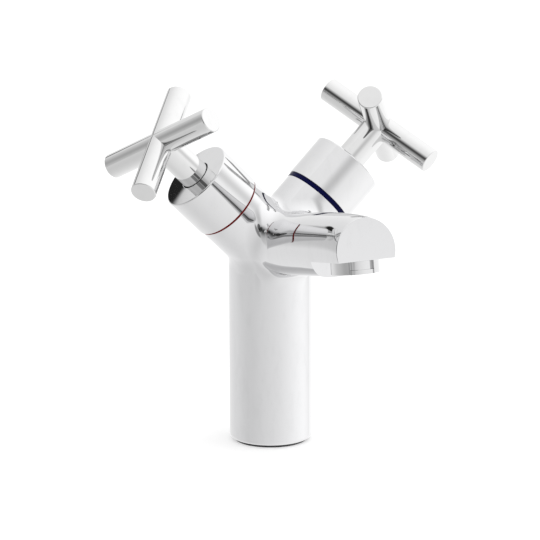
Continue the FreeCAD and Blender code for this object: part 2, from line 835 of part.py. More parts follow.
def spindle(side):
    """The spindle: key and dog at its foot, two ring grooves, a clip groove and a splined head."""
    name = f"{side}_spindle"
    shaft = SHAFT_RADIUS
    grooved = f"{shaft} - shaft_ring_cord"
    high = "(shaft_ring_low + shaft_ring_pitch)"
    half_groove = "(shaft_ring_cord / 2 + ring_seat_clear)"
    turning = turned(
        f"{name}_turning",
        [
            ("0", MOVING_TOP),
            (DOG_RADIUS, MOVING_TOP),
            (DOG_RADIUS, DOG_TOP),
            (shaft, DOG_TOP),
            (shaft, f"shaft_ring_low - {half_groove}"),
            (grooved, f"shaft_ring_low - {half_groove}"),
            (grooved, f"shaft_ring_low + {half_groove}"),
            (shaft, f"shaft_ring_low + {half_groove}"),
            (shaft, f"{high} - {half_groove}"),
            (grooved, f"{high} - {half_groove}"),
            (grooved, f"{high} + {half_groove}"),
            (shaft, f"{high} + {half_groove}"),
            (shaft, CLIP_LOW),
            (f"{shaft} - clip_groove", CLIP_LOW),
            (f"{shaft} - clip_groove", f"{CLIP_TOP} + clip_clear"),
            (shaft, f"{CLIP_TOP} + clip_clear"),
            (shaft, SPLINE_LOW),
            ("spline_dia / 2", SPLINE_LOW),
            ("spline_dia / 2", SPLINE_TOP),
            ("0", SPLINE_TOP),
        ],
    )
    key = box(
        f"{name}_key",
        f"2 * ({DOG_RADIUS} - key_clear)",
        "key_width",
        "key_depth + key_clear",
        at(x=f"key_clear - {DOG_RADIUS}", y="-key_width / 2", z=f"{MOVING_TOP} - key_depth"),
    )
    blank = fuse(f"{name}_blank", [turning, key])
    gaps = spline_gaps(
        name,
        "spline_dia / 2 - spline_tooth",
        "spline_dia / 2 + spline_tooth",
        SPLINE_LOW,
        f"{SPLINE_TOP} - {SPLINE_LOW} + {REACH_PAST}",
    )
    return place(cut(name, blank, gaps), arm_frame(side, handle_turn(side)))


def spline_gaps(name, inner, outer, low, height, first=0):
    """The grooves between a spline's teeth: small square bars set on edge round the axis, starting
    at the angle first."""
    side = f"((({outer}) - ({inner})) / sqrt(2))"
    return [
        box(
            f"{name}_gap_{number}",
            side,
            side,
            height,
            at(angle=f"{first + number * 360 / SPLINE_TEETH}")
            + " * "
            + at(x=inner, z=low)
            + " * "
            + at(angle="-45"),
        )
        for number in range(SPLINE_TEETH)
    ]


def handle_turn(side):
    """How far the handle and its spindle stand turned about the arm at rest."""
    return f"{side}_turn_at_rest"


def glide_washer(side):
    """The slippery washer between the dog and the housing's shoulder."""
    outline = ring_outline(SHAFT_BORE_RADIUS, DOG_RADIUS, DOG_TOP, GLIDE_TOP)
    return turned(f"{side}_glide_washer", outline, arm_frame(side, handle_turn(side)))


def housing_ring(side):
    """The rubber ring under the cartridge's flange."""
    major = "cartridge_thread_dia / 2 + ring_seat_clear + ring_cord / 2"
    height = at(z=f"{SPIGOT_TOP} - ring_cord / 2 - ring_seat_clear")
    return torus(f"{side}_housing_ring", major, "ring_cord / 2", arm_frame(side) + " * " + height)


def spindle_rings(side):
    """The two rubber rings in the spindle's grooves, alike, as one group."""
    major = f"{SHAFT_BORE_RADIUS} - ring_seat_clear - shaft_ring_cord / 2"
    rings = [
        torus(f"{side}_spindle_ring_{number}", major, "shaft_ring_cord / 2", at(z=height))
        for number, height in enumerate(["shaft_ring_low", "shaft_ring_low + shaft_ring_pitch"], start=1)
    ]
    group = doc.addObject("Part::Compound", f"{side}_spindle_rings")
    group.Links = rings
    return place(group, arm_frame(side, handle_turn(side)))


def circlip(side):
    """The open spring clip above the housing's neck, which stops the spindle dropping through."""
    name = f"{side}_circlip"
    inner = f"{SHAFT_RADIUS} - clip_groove + clip_clear"
    outer = f"({SHAFT_RADIUS} + clip_reach)"
    ring = turned(f"{name}_ring", ring_outline(inner, outer, CLIP_LOW, CLIP_TOP))
    gap = box(
        f"{name}_gap",
        "clip_gap",
        f"2 * {outer}",
        f"2 * {REACH_PAST}",
        at(x="-clip_gap / 2", z=f"{CLIP_LOW} - {REACH_PAST}"),
    )
    return place(cut(name, ring, [gap]), arm_frame(side, handle_turn(side)))


# --- shroud, index ring and handle -------------------------------------------------------------


def shroud(side):
    """The plain sleeve that screws down over the spigot and hides the cartridge."""
    top = SHROUD_TOP
    inner = f"{SPIGOT_RADIUS} + thread_clear"
    sleeve = turned(
        f"{side}_sleeve",
        [
            (inner, "shroud_foot"),
            ("shroud_dia / 2", "shroud_foot"),
            ("shroud_dia / 2", top),
            ("stem_dia / 2 + stem_gap", top),
            ("stem_dia / 2 + stem_gap", f"{top} - shroud_lid"),
            (inner, f"{top} - shroud_lid"),
        ],
    )
    doc.recompute()
    base = sleeve.Tip
    wanted = value(top)
    outer = value("shroud_dia / 2")
    names = [
        f"Edge{number}"
        for number, line in enumerate(base.Shape.Edges, start=1)
        if isinstance(line.Curve, Part.Circle)
        and abs(line.Curve.Center.z - wanted) < 1e-4
        and abs(line.Curve.Radius - outer) < 1e-4
    ]
    edge = sleeve.newObject("PartDesign::Fillet", f"{side}_sleeve_edge")
    edge.Base = (base, names)
    bind(edge, Radius="shroud_edge")
    sleeve.Tip = edge
    sleeve.Label = f"{side}_shroud"
    return place(sleeve, arm_frame(side))


def index_ring(side):
    """The coloured ring between the arm's shoulder and the shroud."""
    inner = f"{SPIGOT_RADIUS} + thread_clear"
    outer = "shroud_dia / 2 - index_inset"
    outline = ring_outline(inner, outer, f"shroud_foot - {side}_ring_show", "shroud_foot")
    return turned(f"{side}_index_ring", outline, arm_frame(side))


def rod(name, turn):
    """One bar of the cross, lying square to the stem, with slightly eased ends."""
    bar = cylinder(name + "_bar", "rod_dia / 2", "rod_length")
    eased = round_edges(name, bar, "rod_edge", ["0", "rod_length"])
    lay = at(z=CROSS_HEIGHT, angle=turn) + " * " + at(axis="0; 1; 0", angle="90")
    return place(eased, lay + " * " + at(z="-rod_length / 2"))


def cross_handle(side):
    """Two crossed bars on a stem, bored and splined for the spindle, with a tapped cross hole."""
    name = f"{side}_cross_handle"
    stem = cylinder(f"{name}_stem_bar", "stem_dia / 2", f"{CROSS_HEIGHT} - {STEM_LOW}", at(z=STEM_LOW))
    bars = [rod(f"{name}_rod_{number}", turn) for number, turn in enumerate(["0", "90"], start=1)]
    blank = fuse(f"{name}_blank", [stem, *bars])
    low = f"{STEM_LOW} - {REACH_PAST}"
    depth = f"{SPLINE_TOP} - {STEM_LOW} + {REACH_PAST} + spline_end_room"
    bore = cylinder(f"{name}_bore", "spline_dia / 2 - spline_tooth + spline_clear", depth, at(z=low))
    grooves = spline_gaps(
        name,
        "spline_dia / 2 - 3 * spline_tooth",
        "spline_dia / 2 + spline_tooth / 2 + spline_clear",
        low,
        depth,
        first=180 / SPLINE_TEETH,
    )
    tapped = cylinder(f"{name}_grub_hole", "grub_dia / 2 + grub_clear", "stem_dia", grub_frame())
    return place(cut(name, blank, [bore, *grooves, tapped]), arm_frame(side, handle_turn(side)))


def grub_frame():
    """The grub screw's frame: z out of the stem between two bars, on the side away from the spout."""
    return at(z=GRUB_HEIGHT, angle="45") + " * " + at(axis="0; 1; 0", angle="90")


def grub_screw(side):
    """The hexagon-socket grub screw that bites on the spline, sunk under the stem's surface."""
    name = f"{side}_grub_screw"
    seat = "(spline_dia / 2 + spline_clear)"
    end = "(stem_dia / 2 - grub_sink)"
    blank = cylinder(f"{name}_blank", "grub_dia / 2", f"{end} - {seat}", at(z=seat))
    socket = hexagon(
        f"{name}_socket",
        "grub_key_flats",
        "grub_key_depth",
        at(z=f"{end} - grub_key_depth"),
    )
    frame = arm_frame(side, handle_turn(side)) + " * " + grub_frame()
    return place(cut(name, blank, [socket]), frame)


# --- the assembly ------------------------------------------------------------------------------

pieces = [
    tap_body(),
    base_gasket(),
    aerator_housing(),
    aerator_insert(),
    aerator_screen(),
    aerator_washer(),
]
for side in SIDES:
    pieces += [
        cartridge_housing(side),
        seat_seal(side),
        fixed_disc(side),
        moving_disc(side),
        glide_washer(side),
        spindle(side),
        spindle_rings(side),
        circlip(side),
        housing_ring(side),
        index_ring(side),
        shroud(side),
        cross_handle(side),
        grub_screw(side),
    ]
doc.recompute()

for item in doc.Objects:
    if {"Invalid", "Error"} & set(item.State):
        raise RuntimeError(f"{item.Name} did not compute: {item.State}")
for piece in pieces:
    if piece.Shape.isNull() or not piece.Shape.isValid() or not piece.Shape.Solids:
        raise RuntimeError(f"{piece.Label} has no valid solid")

os.makedirs("parts", exist_ok=True)
for piece in pieces:
    piece.Shape.exportStep(f"parts/{piece.Label}.step")
    print(f"{piece.Label}: {len(piece.Shape.Solids)} solid(s), {piece.Shape.Volume / 1000:.2f} cm3")
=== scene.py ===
import math

import bmesh
import bpy
import numpy as np
from mathutils import Matrix, Vector
from mathutils.geometry import delaunay_2d_cdt


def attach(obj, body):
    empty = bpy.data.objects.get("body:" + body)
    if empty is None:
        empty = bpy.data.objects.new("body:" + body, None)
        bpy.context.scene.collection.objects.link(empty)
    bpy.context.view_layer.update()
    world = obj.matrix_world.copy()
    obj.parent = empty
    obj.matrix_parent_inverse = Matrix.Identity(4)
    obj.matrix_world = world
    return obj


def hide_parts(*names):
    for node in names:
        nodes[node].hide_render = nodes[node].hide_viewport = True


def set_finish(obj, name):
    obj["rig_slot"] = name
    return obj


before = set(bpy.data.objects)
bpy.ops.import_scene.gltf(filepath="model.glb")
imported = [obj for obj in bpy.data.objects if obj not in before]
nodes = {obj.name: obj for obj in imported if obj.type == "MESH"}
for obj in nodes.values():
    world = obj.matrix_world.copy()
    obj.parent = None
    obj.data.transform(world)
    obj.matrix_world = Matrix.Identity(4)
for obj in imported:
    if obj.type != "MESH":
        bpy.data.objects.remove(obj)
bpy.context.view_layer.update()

# The tap's lengths are in millimetres, and MM brings them to metres when a mesh is made. The stage,
# the camera and the materials are in metres.
MM = 0.001
SIDES = ("hot", "cold")

# --- sizes of the tap ---

# A name that ends in EDGE gives an eased corner's radius and its number of steps.

COLUMN_RADIUS = 22.5
COLUMN_LOW = 1.2
FOOT_EDGE = (2.5, 8)
GASKET_ROOM = (19.6, 2.25)
# The stud's hole and the two inlets: x, y, radius and depth.
FOOT_HOLES = ((0, -10.5, 3.4, 11.95), (-8.5, 5.0, 4.5, 19.75), (8.5, 5.0, 4.5, 19.75))
HEAD_Z = 106.2
COLUMN_JOIN = 88.0

ARM_ROOT = np.array([0.0, -3.0, HEAD_Z])
ARM_TILT = math.radians(46.0)
ARM_RADIUS = 19.4
ARM_JOIN = 34.0
SHROUD_FOOT = 38.6
RING_SHOW = {"hot": 1.2, "cold": 2.5}
SPIGOT_RADIUS = 17.2
SPIGOT_TOP = 43.0
ARM_EDGE = (0.25, 4)
SPIGOT_EDGE = (0.3, 2)
CHAMBER = [(10.35, 26.0), (9.9, 26.0), (9.9, 13.0)]
RING_SEAT = (12.05, 41.3)
RING_GAP = 0.05
RING_SET_IN = 0.5
RING_EDGE = (0.15, 2)

SHROUD_RADIUS = 20.0
SHROUD_BORE = 17.3
SHROUD_TOP = 63.6
SHROUD_LID = 2.6
LID_HOLE = 8.5
LID_CROWN = 0.25
SHROUD_FOOT_EDGE = (0.2, 3)
LID_EDGE = (0.8, 8)
LID_HOLE_EDGE = (0.25, 3)

STEM_RADIUS = 8.0
STEM_LOW = 57.0
ROD_RADIUS = 6.7
ROD_HALF = 36.45
ROD_EASING = 0.6
CROSS_HEIGHT = 90.5
SPLINE_BORE = (4.1, 74.0)
GRUB_HEIGHT = 68.5
GRUB_HOLE_RADIUS = 2.35
GRUB_HOLE_FLOOR = 4.4
GRUB_PATCH = (math.radians(26.0), 3.4)
STEM_RIM = 0.3
STEM_EDGE = (0.25, 3)
HANDLE_TURN = {"hot": math.radians(36.2), "cold": math.radians(41.1)}

SPOUT_RISE = math.radians(8.9)
SPOUT_REACH = 107.0
SPOUT_ROOT_Z = 107.44
SPOUT_FACE = np.array([0.0, -SPOUT_REACH, SPOUT_ROOT_Z + SPOUT_REACH * math.tan(SPOUT_RISE)])
SPOUT_RADIUS = 17.0
CHORD = -4.75
CROWN_RISE = 2.1
CROWN_LENGTH = 9.0
CROWN_FADE = (45.0, 30.0)
SPOUT_JOIN = 62.0
SPOUT_BACK = 106.0
BELLY_FRONT = 30.0
BELLY_LEAN = math.radians(24.0)
BELLY_FLOOR = -14.3
FACE_EASING = 0.35
SOCKET_AT = 13.0
SOCKET_RADIUS = 11.75
SOCKET_DEPTH = 8.0

COLLAR_RADIUS = 12.6
COLLAR_DROP = 6.8
HOUSING_RADIUS = 11.7
HOUSING_TOP = 7.0
HOUSING_BORE = 10.0
MOUTH_RADIUS = 9.2
MOUTH_LIP = 0.9
NOTCH_START = 49.5
NOTCH_SPAN = 61.0
NOTCH_CUT = 1.5
LEDGE_CUT = 0.5
LEDGE_HEIGHT = 2.3
COLLAR_EDGE = (0.3, 3)

ARM_BLEND = 13.0
CROTCH_BLEND = 5.0
SPOUT_BLEND = 11.0
BELLY_BLEND = 3.0

# The head is a net over a lattice of CELL between these corners. The plain parts stop this far
# before the planes that cut it, and a strip joins each one to it.
CELL = 0.62
HEAD_LOW = (-42.0, -54.0, COLUMN_JOIN - 2.0)
HEAD_HIGH = (42.0, 24.5, 148.0)
STRIP = 1.0
ARM_STRIP = 0.8
# Points nearer to one another than this are one point.
WELD = 2e-4

FRONT, UP, DOWN = np.array([(0, -1.0, 0), (0, 0, 1.0), (0, 0, -1.0)])


# --- frames ---


class Place:
    """A frame: an origin, and three unit directions for its own x, y and z."""

    def __init__(self, origin, x, y, z):
        self.origin = np.asarray(origin, float)
        self.axes = np.array([x, y, z], float)

    def point(self, local):
        """The points of the object's frame for points of this frame."""
        return self.origin + np.asarray(local, float) @ self.axes

    def turn(self, local):
        """The same for directions."""
        return np.asarray(local, float) @ self.axes

    def local(self, points):
        """The points of this frame for points of the object's frame."""
        return (points - self.origin) @ self.axes.T


def arm_place(side, turn=0.0):
    """The frame of one valve arm: z out along the arm, turned about that axis."""
    sign = -1.0 if side == "hot" else 1.0
    out = np.array([sign * math.sin(ARM_TILT), 0.0, math.cos(ARM_TILT)])
    across = np.array([math.cos(ARM_TILT), 0.0, -sign * math.sin(ARM_TILT)])
    back = np.array([0.0, 1.0, 0.0])
    x = math.cos(turn) * across + math.sin(turn) * back
    y = math.cos(turn) * back - math.sin(turn) * across
    return Place(ARM_ROOT, x, y, out)


UPRIGHT = Place((0, 0, 0), (1, 0, 0), (0, 1, 0), (0, 0, 1))
# The spout's own frame: x to the cold side, y back along the spout, z square to it, upwards.
SPOUT = Place(
    SPOUT_FACE,
    (1, 0, 0),
    (0, math.cos(SPOUT_RISE), -math.sin(SPOUT_RISE)),
    (0, math.sin(SPOUT_RISE), math.cos(SPOUT_RISE)),
)
# The aerator's own frame: z up out of the flat underside, y towards the end face.
AERATOR = Place(SPOUT.point((0, SOCKET_AT, CHORD)), -SPOUT.axes[0], -SPOUT.axes[1], SPOUT.axes[2])


# --- surfaces ---


def unit(vectors):
    """Each vector divided by its length."""
    return vectors / np.maximum(np.linalg.norm(vectors, axis=-1, keepdims=True), 1e-12)


def spokes(angles):
    """Unit directions round the z axis, one at each angle."""
    return np.stack([np.cos(angles), np.sin(angles), 0 * angles], -1)


def within(points, loop):
    """Which flat points lie inside a closed loop: those to whose right it passes an odd number of
    times."""
    one, two = loop, np.roll(loop, -1, axis=0)
    level = points[:, None, 1]
    passes = (one[None, :, 1] > level) != (two[None, :, 1] > level)
    rise = np.where(two[:, 1] == one[:, 1], 1.0, two[:, 1] - one[:, 1])
    meets = one[:, 0] + (level - one[:, 1]) * (two[:, 0] - one[:, 0]) / rise
    return ((passes & (meets > points[:, None, 0])).sum(1) % 2) == 1


class Shell:
    """A piece's skin, gathered from patches. Each patch brings the exact normal of its own surface
    for every corner of its faces, and points that two patches share are welded at the end."""

    def __init__(self):
        self.points = []
        self.normals = []
        self.faces = []
        self.count = 0

    def add(self, points, normals, faces):
        """Faces are rows of four point numbers; a triangle repeats its last one. The product of a
        face's diagonals tells where it looks, and one that looks against its normals is reversed."""
        corners = points[faces]
        looks = np.cross(corners[:, 2] - corners[:, 0], corners[:, 3] - corners[:, 1])
        wrong = (looks * normals[faces].sum(1)).sum(1) < 0
        self.points.append(points)
        self.normals.append(normals)
        self.faces.append(np.where(wrong[:, None], faces[:, ::-1], faces) + self.count)
        self.count += len(points)

    def grid(self, place, points, normals):
        """A patch whose points, in a place's frame, are a function of two parameters, as an array of
        rows and columns."""
        rows, columns = points.shape[:2]
        number = np.arange(rows * columns).reshape(rows, columns)
        faces = np.stack([number[:-1, :-1], number[1:, :-1], number[1:, 1:], number[:-1, 1:]], -1)
        normals = place.turn(np.broadcast_to(normals, points.shape))
        self.add(place.point(points).reshape(-1, 3), normals.reshape(-1, 3), faces.reshape(-1, 4))

    def flat(self, place, loops, normal):
        """A flat patch with one normal, inside its first loop and outside the others."""
        points = place.point(np.concatenate(loops))
        normal = place.turn(normal)
        across = unit(np.cross(normal, np.eye(3)[np.argmin(np.abs(normal))]))
        plan = points @ np.stack([across, np.cross(normal, across)], -1)
        rings = np.split(np.arange(len(points)), np.cumsum([len(loop) for loop in loops])[:-1])
        edges = np.concatenate([np.stack([ring, np.roll(ring, -1)], -1) for ring in rings])
        corners = [Vector(pair) for pair in plan.tolist()]
        _, _, triangles, made_of, _, _ = delaunay_2d_cdt(corners, edges.tolist(), [], 2, 1e-7)
        source = np.array([origin[0] for origin in made_of])
        faces = source[np.array([(*three, three[2]) for three in triangles])]
        middle = plan[faces[:, :3]].mean(1)
        kept = np.ones(len(faces), bool)
        for ring in rings[1:]:
            kept &= ~within(middle, plan[ring])
        self.add(points, np.broadcast_to(normal, points.shape), faces[kept])

    def bridge(self, first, second):
        """A band between two loops around the same axis with any number of points each, given as
        (points, normals, angles): all the angles in order, each closing one triangle."""
        points, normals, angles = [], [], []
        for loop_points, loop_normals, loop_angles in (first, second):
            loop_angles = np.round(loop_angles, 9) % (2 * math.pi)
            order = np.argsort(loop_angles)
            order = np.append(order, order[0])
            points.append(loop_points[order])
            normals.append(loop_normals[order])
            angles.append(np.append(loop_angles[order[:-1]], loop_angles[order[0]] + 2 * math.pi))
        steps = np.concatenate([angles[0][1:], angles[1][1:]])
        is_first = np.arange(len(steps)) < len(angles[0]) - 1
        order = np.argsort(steps, kind="stable")
        is_first = is_first[order]
        on_first = np.cumsum(is_first)
        on_second = np.cumsum(~is_first)
        base = len(points[0])
        one = np.where(is_first, on_first - 1, on_first)
        two = np.where(is_first, on_second, on_second - 1) + base
        three = np.where(is_first, on_first, on_second + base)
        self.add(np.concatenate(points), np.concatenate(normals), np.stack([one, two, three, three], -1))

    def make(self, name, body, slot, *replaced):
        """The welded mesh, without empty or doubled faces, as an object that stands for CAD nodes and
        rides on a body."""
        points = np.concatenate(self.points)
        normals = unit(np.concatenate(self.normals))
        faces = np.concatenate(self.faces)
        key = np.round(points / WELD).astype(np.int64)
        unique, first, place = np.unique(key, axis=0, return_index=True, return_inverse=True)
        welded = place.reshape(-1)[faces]
        same = welded == np.roll(welded, -1, axis=1)
        opposite = (welded[:, 0] == welded[:, 2]) | (welded[:, 1] == welded[:, 3])
        kept = (same.sum(1) < 2) & ~opposite
        ordered = np.sort(welded, axis=1)
        ordered[:, 1:][ordered[:, 1:] == ordered[:, :-1]] = -1
        _, once = np.unique(np.sort(ordered, axis=1), axis=0, return_index=True)
        kept &= np.isin(np.arange(len(welded)), once)
        welded, corner, same = welded[kept], faces[kept], same[kept]
        used = ~same
        starts = np.concatenate([[0], np.cumsum(used.sum(1))[:-1]])
        mesh = bpy.data.meshes.new(name)
        mesh.vertices.add(len(unique))
        mesh.vertices.foreach_set("co", (points[first] * MM).ravel())
        mesh.loops.add(int(used.sum()))
        mesh.loops.foreach_set("vertex_index", welded[used].astype(np.int32))
        mesh.polygons.add(len(welded))
        mesh.polygons.foreach_set("loop_start", starts.astype(np.int32))
        mesh.polygons.foreach_set("use_smooth", np.ones(len(welded), bool))
        mesh.update(calc_edges=True)
        if mesh.validate():
            print(name, "had faces that were not valid")
        else:
            mesh.normals_split_custom_set(normals[corner[used]])
        piece = bpy.data.objects.new(name, mesh)
        bpy.context.scene.collection.objects.link(piece)
        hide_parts(*replaced)
        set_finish(piece, slot)
        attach(piece, body)
        return piece


def outline(points, easing=None):
    """A profile of radius and height as points and normals. A plain corner is given twice, once with
    each side's normal; a corner that easing names is rounded to that radius in small steps."""
    points = np.asarray(points, float)
    easing = easing or {}
    sides = unit(np.diff(points, axis=0))
    across = np.stack([sides[:, 1], -sides[:, 0]], -1)
    places, normals = [points[:1]], [across[:1]]
    for number in range(1, len(points) - 1):
        before, after = sides[number - 1], sides[number]
        if number not in easing:
            places.append(np.array([points[number], points[number]]))
            normals.append(np.array([across[number - 1], across[number]]))
            continue
        radius, steps = easing[number]
        bend = math.atan2(before[0] * after[1] - before[1] * after[0], float(before @ after))
        sign = 1.0 if bend > 0 else -1.0
        back = radius * math.tan(abs(bend) / 2)
        start = points[number] - before * back
        centre = start - sign * across[number - 1] * radius
        angles = np.linspace(0, bend, steps + 1)[:, None]
        toward = sign * across[number - 1]
        square = np.array([-toward[1], toward[0]])
        spokes = np.cos(angles) * toward + np.sin(angles) * square
        places.append(centre + radius * spokes)
        normals.append(sign * spokes)
    places.append(points[-1:])
    normals.append(across[-1:])
    return np.concatenate(places), np.concatenate(normals)


def turned(shell, place, profile, start=0.0, span=2 * math.pi, steps=128, angles=None):
    """A profile of (radius, height) and its normals, carried round the z axis of a frame: each point
    is the radius times the spoke at an angle, plus the height along z."""
    if angles is None:
        angles = start + np.linspace(0, span, steps + 1)
    if abs(span - 2 * math.pi) < 1e-9:
        angles = np.append(angles[:-1], angles[0])
    points, normals = profile
    ring = spokes(angles)
    grid = points[:, None, :1] * ring + points[:, None, 1:] * UP
    facing = normals[:, None, :1] * ring + normals[:, None, 1:] * UP
    shell.grid(place, grid, facing)


# --- the head: column, arms and spout run together ---


def crown(along):
    """The rise of the spout's ridge over its end face, at a distance along the spout: it grows over
    a few CROWN_LENGTHs, stays level, and fades to half on the way into the head."""
    fade = np.clip((along - CROWN_FADE[0]) / CROWN_FADE[1], 0, 1)
    fade = fade * fade * (3 - 2 * fade)
    rise = 1 - np.exp(-np.clip(along, 0, None) / CROWN_LENGTH)
    return CROWN_RISE * rise * (1 - 0.5 * fade)


def spout_round(along):
    """The radius and the centre's height of the round that passes through the corners of the end
    face's flat and through the ridge."""
    half_chord = SPOUT_RADIUS**2 - CHORD**2
    top = SPOUT_RADIUS + crown(along)
    span = top - CHORD
    radius = (half_chord + span**2) / (2 * span)
    return radius, top - radius


def round_about(offsets, radius):
    """Signed distance to a skin that stands a radius off its core, and its direction, for points
    given as offsets from the core."""
    length = np.linalg.norm(offsets, axis=-1)
    return length - radius, offsets / np.maximum(length, 1e-9)[..., None]


def column_field(points):
    """The column with its domed end."""
    offsets = points.copy()
    offsets[..., 2] = np.maximum(offsets[..., 2] - HEAD_Z, 0)
    return round_about(offsets, COLUMN_RADIUS)


def arm_field(points, side):
    """One arm, a round bar with a ball at its root."""
    out = arm_place(side).axes[2]
    offsets = points - ARM_ROOT
    offsets = offsets - np.maximum(offsets @ out, 0)[..., None] * out
    return round_about(offsets, ARM_RADIUS)


def spout_field(points):
    """The spout's round, cut by the flat under it with a soft edge."""
    local = SPOUT.local(points)
    radius, centre = spout_round(local[..., 1])
    height = local[..., 2] - centre
    round_side, facing = round_about(np.stack([local[..., 0], 0 * height, height], -1), radius)
    floor = BELLY_FLOOR - local[..., 2]
    both = eased_belly(round_side, floor)
    share = np.clip(0.5 + (floor - round_side) / (2 * BELLY_BLEND), 0, 1)[..., None]
    facing = facing * (1 - share) + DOWN * share
    return np.maximum(both, local[..., 1] - SPOUT_BACK), SPOUT.turn(unit(facing))


def joined(first, second, radius):
    """Two fields run together with a hollow fillet: the smaller one, lowered where both are nearly
    equal, over a width that follows the angle between the two surfaces."""
    width = radius * np.maximum(1 - (first[1] * second[1]).sum(-1), 0) + 1e-6
    depth = np.maximum(width - np.abs(first[0] - second[0]), 0)
    value = np.minimum(first[0], second[0]) - depth**2 / (4 * width)
    share = np.clip(0.5 + (first[0] - second[0]) / (2 * width), 0, 1)[..., None]
    return value, unit(first[1] * (1 - share) + second[1] * share)


def head_field(points):
    """The signed distance whose zero is the skin of the head."""
    arms = joined(arm_field(points, "hot"), arm_field(points, "cold"), CROTCH_BLEND)
    trunk = joined(column_field(points), arms, ARM_BLEND)
    return joined(trunk, spout_field(points), SPOUT_BLEND)[0]


def head_slope(points):
    """The field's slope, from differences over a small step."""
    step = 1e-3
    slope = np.empty_like(points)
    for axis in range(3):
        move = np.zeros(3)
        move[axis] = step
        slope[:, axis] = (head_field(points + move) - head_field(points - move)) / (2 * step)
    return slope


def settle(points, rounds, fixed=None):
    """Points brought on to the skin, each by the field's value over its slope, with no step along a
    fixed direction."""
    for _ in range(rounds):
        slope = head_slope(points)
        if fixed is not None:
            slope = slope - (slope @ fixed)[:, None] * fixed
        lean = np.maximum((slope**2).sum(-1), 1e-3)
        points = points - (head_field(points) / lean)[:, None] * slope
    return points


OTHER_AXES = ([1, 2], [0, 2], [0, 1])


def head_lattice():
    """The skin as a net over a lattice: one point in each cell that the skin passes through, at the
    mean of its crossings of the cell's edges, and one face across each lattice edge that it crosses."""
    axes = [np.arange(low, high + CELL, CELL) for low, high in zip(HEAD_LOW, HEAD_HIGH)]
    lattice = np.stack(np.meshgrid(*axes, indexing="ij"), -1)
    slabs = np.array_split(lattice, 24)
    values = np.concatenate([head_field(slab) for slab in slabs])
    cells = tuple(n - 1 for n in values.shape)
    total = np.zeros(cells + (3,))
    hits = np.zeros(cells)
    crossed = []
    for axis, (first, second) in enumerate(OTHER_AXES):
        one, two = np.delete(values, -1, axis), np.delete(values, 0, axis)
        cross = (one < 0) != (two < 0)
        crossed.append(cross)
        share = np.where(cross, one / np.where(cross, one - two, 1.0), 0.0)
        for a, b in ((0, 0), (0, 1), (1, 0), (1, 1)):
            part = [slice(None)] * 3
            part[first] = slice(a, a + cells[first])
            part[second] = slice(b, b + cells[second])
            part = tuple(part)
            hits += cross[part]
            total[..., axis] += share[part]
            total[..., first] += cross[part] * a
            total[..., second] += cross[part] * b
    active = hits > 0
    number = np.full(cells, -1)
    number[active] = np.arange(active.sum())
    corner = np.stack(np.nonzero(active), -1)
    points = np.asarray(HEAD_LOW) + (corner + total[active] / hits[active][:, None]) * CELL
    faces = []
    for cross, others in zip(crossed, OTHER_AXES):
        at = np.stack(np.nonzero(cross), -1)
        at = at[((at > 0) & (at < cells))[:, others].all(1)]
        around = []
        for back in ((1, 1), (0, 1), (0, 0), (1, 0)):
            cell = at.copy()
            cell[:, others] -= back
            around.append(number[tuple(cell.T)])
        faces.append(np.stack(around, -1))
    return points, np.concatenate(faces)


def cut_open(points, faces, planes):
    """A net cut off beyond each plane; returns its points and faces, with every face a row of four
    numbers and a triangle's last one repeated, and the loop of points left on each plane."""
    net = bmesh.new()
    mesh = bpy.data.meshes.new("head_net")
    mesh.from_pydata(points, [], faces.tolist())
    net.from_mesh(mesh)
    for place, direction in planes:
        parts = net.verts[:] + net.edges[:] + net.faces[:]
        bmesh.ops.bisect_plane(
            net, geom=parts, dist=1e-5, plane_co=Vector(place), plane_no=Vector(direction), clear_outer=True
        )
    bmesh.ops.remove_doubles(net, verts=net.verts, dist=2e-3)
    bmesh.ops.triangulate(net, faces=[face for face in net.faces if len(face.verts) > 4])
    net.to_mesh(mesh)
    net.free()
    count = len(mesh.vertices)
    points = np.empty(count * 3)
    mesh.vertices.foreach_get("co", points)
    points = points.reshape(-1, 3)
    faces = np.array([(*face.vertices, face.vertices[-1])[:4] for face in mesh.polygons])
    bpy.data.meshes.remove(mesh)
    ends = np.roll(faces, -1, axis=1)
    pairs = np.stack([faces, ends], -1).reshape(-1, 2)
    pairs = np.sort(pairs[pairs[:, 0] != pairs[:, 1]], axis=1)
    unique, uses = np.unique(pairs, axis=0, return_counts=True)
    rim = np.unique(unique[uses == 1])
    loops = []
    for place, direction in planes:
        away = np.abs((points[rim] - place) @ direction)
        loops.append(rim[away < 5e-3])
    return points, faces, loops


def head(shell):
    """The head, and the loops where the column, both arms and the spout go on from it."""
    points, faces = head_lattice()
    planes = [(np.array([0, 0, COLUMN_JOIN]), DOWN)]
    for side in SIDES:
        place = arm_place(side)
        planes.append((place.point((0, 0, ARM_JOIN)), place.axes[2]))
    planes.append((SPOUT.point((0, SPOUT_JOIN, 0)), -SPOUT.axes[1]))
    points = settle(points, 4)
    points, faces, loops = cut_open(points, faces, planes)
    on_rim = np.zeros(len(points), bool)
    on_rim[np.concatenate(loops)] = True
    moved = settle(points, 3)
    moved[on_rim] = points[on_rim]
    points = moved
    for loop, (_, direction) in zip(loops, planes):
        points[loop] = settle(points[loop], 4, direction)
    normals = unit(head_slope(points))
    shell.add(points, normals, faces)
    return [(points[loop], normals[loop]) for loop in loops]


# --- the body's other parts ---


def turned_to_head(shell, place, profile, steps, rim, end):
    """A profile carried round an axis, and the strip from the ring at one end of it to a loop of the
    head."""
    turned(shell, place, profile, steps=steps)
    angles = np.linspace(0, 2 * math.pi, steps + 1)[:-1]
    ring = spokes(angles)
    radius, height = profile[0][end]
    last = place.point(ring * radius + (0, 0, height))
    local = place.local(rim[0])
    shell.bridge((last, place.turn(ring), angles), (*rim, np.arctan2(local[:, 1], local[:, 0])))


